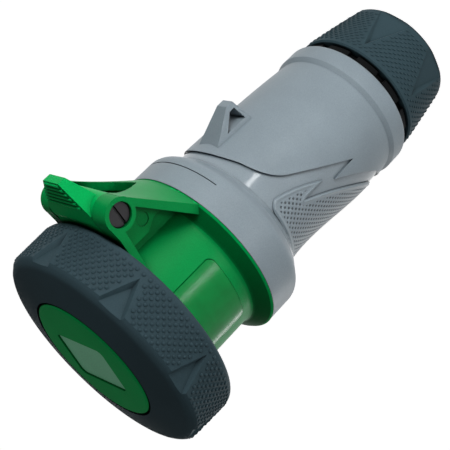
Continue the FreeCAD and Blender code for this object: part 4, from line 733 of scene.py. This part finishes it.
nut_slope = (NUT_HIGH_RADIUS - NUT_LOW_RADIUS) / (NUT_HIGH - NUT_LOW)
ribs = [], []
count = 0
for row in range(NUT_ROWS):
    height = NUT_ROW_START + row * NUT_ROW_STEP
    radius = NUT_LOW_RADIUS + nut_slope * (height - NUT_LOW)
    for column in range(NUT_COLUMNS):
        angle = 2 * math.pi * (column + (row % 2) / 2) / NUT_COLUMNS + NUT_TURN
        turned_angle = (angle - NUT_TURN + NUT_PITCH / 2) % NUT_PITCH - NUT_PITCH / 2
        margin = NUT_MARGIN if height < NUT_MARGIN_END else 0
        if abs(turned_angle) * radius < max(NUT_APEX - height, 0) * NUT_OPENING + margin:
            continue
        outward = Vector((math.cos(angle), math.sin(angle), -nut_slope)).normalized()
        around = Vector((-math.sin(angle), math.cos(angle), 0))
        along = outward.cross(around)
        across = around * math.cos(RIB_SLANT) + along * math.sin(RIB_SLANT)
        place = Vector((math.cos(angle) * radius, math.sin(angle) * radius, height)) * MM
        add_knob(ribs, place, outward, across, RIB_SIZE)
        count += 1
finish_piece(ribs, "nut_ribs", slate_polyamide, "gland_nut")
print("nut ribs", count)

# %% [markdown]
# The floor is a plain pale plane under the part's cable end. Seen by the camera or in a
# reflection it glows, so that it comes out white and a shadow on it is only faint. The camera
# looks down, so the floor is the whole background. The world gives a weak even light, and
# most soft boxes stand round the part at its own height, because the photograph shows bright
# sides and a shaded lid face. The lid fill hangs above and keeps that shade from going dark.

# %% Floor, world and lamps
FLOOR_REACH = 25.0
FLOOR_DROP = 0.2
FLOOR_GLOW = 0.945
FLOOR_SHADED = 0.55
WORLD_LIGHT = 0.11

floor_mesh = bmesh.new()
bmesh.ops.create_grid(floor_mesh, x_segments=1, y_segments=1, size=FLOOR_REACH)
floor_data = bpy.data.meshes.new("floor")
floor_mesh.to_mesh(floor_data)
floor_mesh.free()
floor = bpy.data.objects.new("floor", floor_data)
floor.location.z = -FLOOR_DROP * MM
bpy.context.scene.collection.objects.link(floor)

floor_paint = bpy.data.materials.new("pale studio floor")
floor_paint.use_nodes = True
tree = floor_paint.node_tree
tree.nodes.clear()
rays = add_node(tree, "ShaderNodeLightPath")
camera_or_glossy = add_node(tree, "ShaderNodeMath", {"operation": "MAXIMUM"}, {
    0: rays.outputs["Is Camera Ray"], 1: rays.outputs["Is Glossy Ray"]})
seen = add_node(tree, "ShaderNodeMath", {"operation": "MAXIMUM"}, {
    0: camera_or_glossy.outputs[0], 1: rays.outputs["Is Transmission Ray"]})
matte = add_node(tree, "ShaderNodeBsdfDiffuse", {
    "Color": (FLOOR_SHADED, FLOOR_SHADED, FLOOR_SHADED, 1)})
glow = add_node(tree, "ShaderNodeEmission", {"Strength": FLOOR_GLOW})
seen_floor = add_node(tree, "ShaderNodeAddShader", links={
    0: matte.outputs[0], 1: glow.outputs[0]})
mix = add_node(tree, "ShaderNodeMixShader", links={
    0: seen.outputs[0], 1: matte.outputs[0], 2: seen_floor.outputs[0]})
add_node(tree, "ShaderNodeOutputMaterial", links={"Surface": mix.outputs[0]})
floor_data.materials.append(floor_paint)

world = bpy.data.worlds.new("studio")
world.use_nodes = True
tree = world.node_tree
tree.nodes.clear()
room = add_node(tree, "ShaderNodeBackground", {
    "Color": (1, 1, 1, 1), "Strength": WORLD_LIGHT})
add_node(tree, "ShaderNodeOutputWorld", links={"Surface": room.outputs[0]})
bpy.context.scene.world = world
bpy.context.scene.view_settings.view_transform = "Standard"


def soft_lamp(name, place, aim, power, width, height):
    """Soft box: place and aim in metres, power in watts, width and height in metres."""
    data = bpy.data.lights.new(name, "AREA")
    data.energy = power
    data.shape = "RECTANGLE"
    data.size = width
    data.size_y = height
    lamp = bpy.data.objects.new(name, data)
    lamp.location = place
    lamp.rotation_mode = "QUATERNION"
    lamp.rotation_quaternion = (Vector(place) - Vector(aim)).to_track_quat("Z", "Y")
    bpy.context.scene.collection.objects.link(lamp)
    print(name, power, "W")


soft_lamp("key box", place=(1.3, -0.45, 0.13), aim=(0, 0, 0.14),
          power=12.6, width=1.0, height=0.24)
soft_lamp("front fill", place=(0.3, -1.3, 0.12), aim=(0, 0, 0.14),
          power=1.6, width=0.8, height=0.22)
soft_lamp("left rim box", place=(-0.9, -0.7, 0.12), aim=(0, 0, 0.14),
          power=1.0, width=0.35, height=0.22)
soft_lamp("plate strip", place=(0.055, -0.47, 0.045), aim=(0.0165, -0.043, 0.215),
          power=0.3, width=0.04, height=0.09)
soft_lamp("plate edge strip", place=(-0.42, -0.05, 0.06), aim=(-0.02, -0.041, 0.215),
          power=0.14, width=0.03, height=0.12)
soft_lamp("lid fill", place=(0.25, -0.2, 1.3), aim=(0, 0, 0.28),
          power=0.75, width=0.3, height=0.3)
soft_lamp("neck strip", place=(0.2, -0.185, 0.03), aim=(0.03, -0.03, 0.14),
          power=0.07, width=0.03, height=0.06)
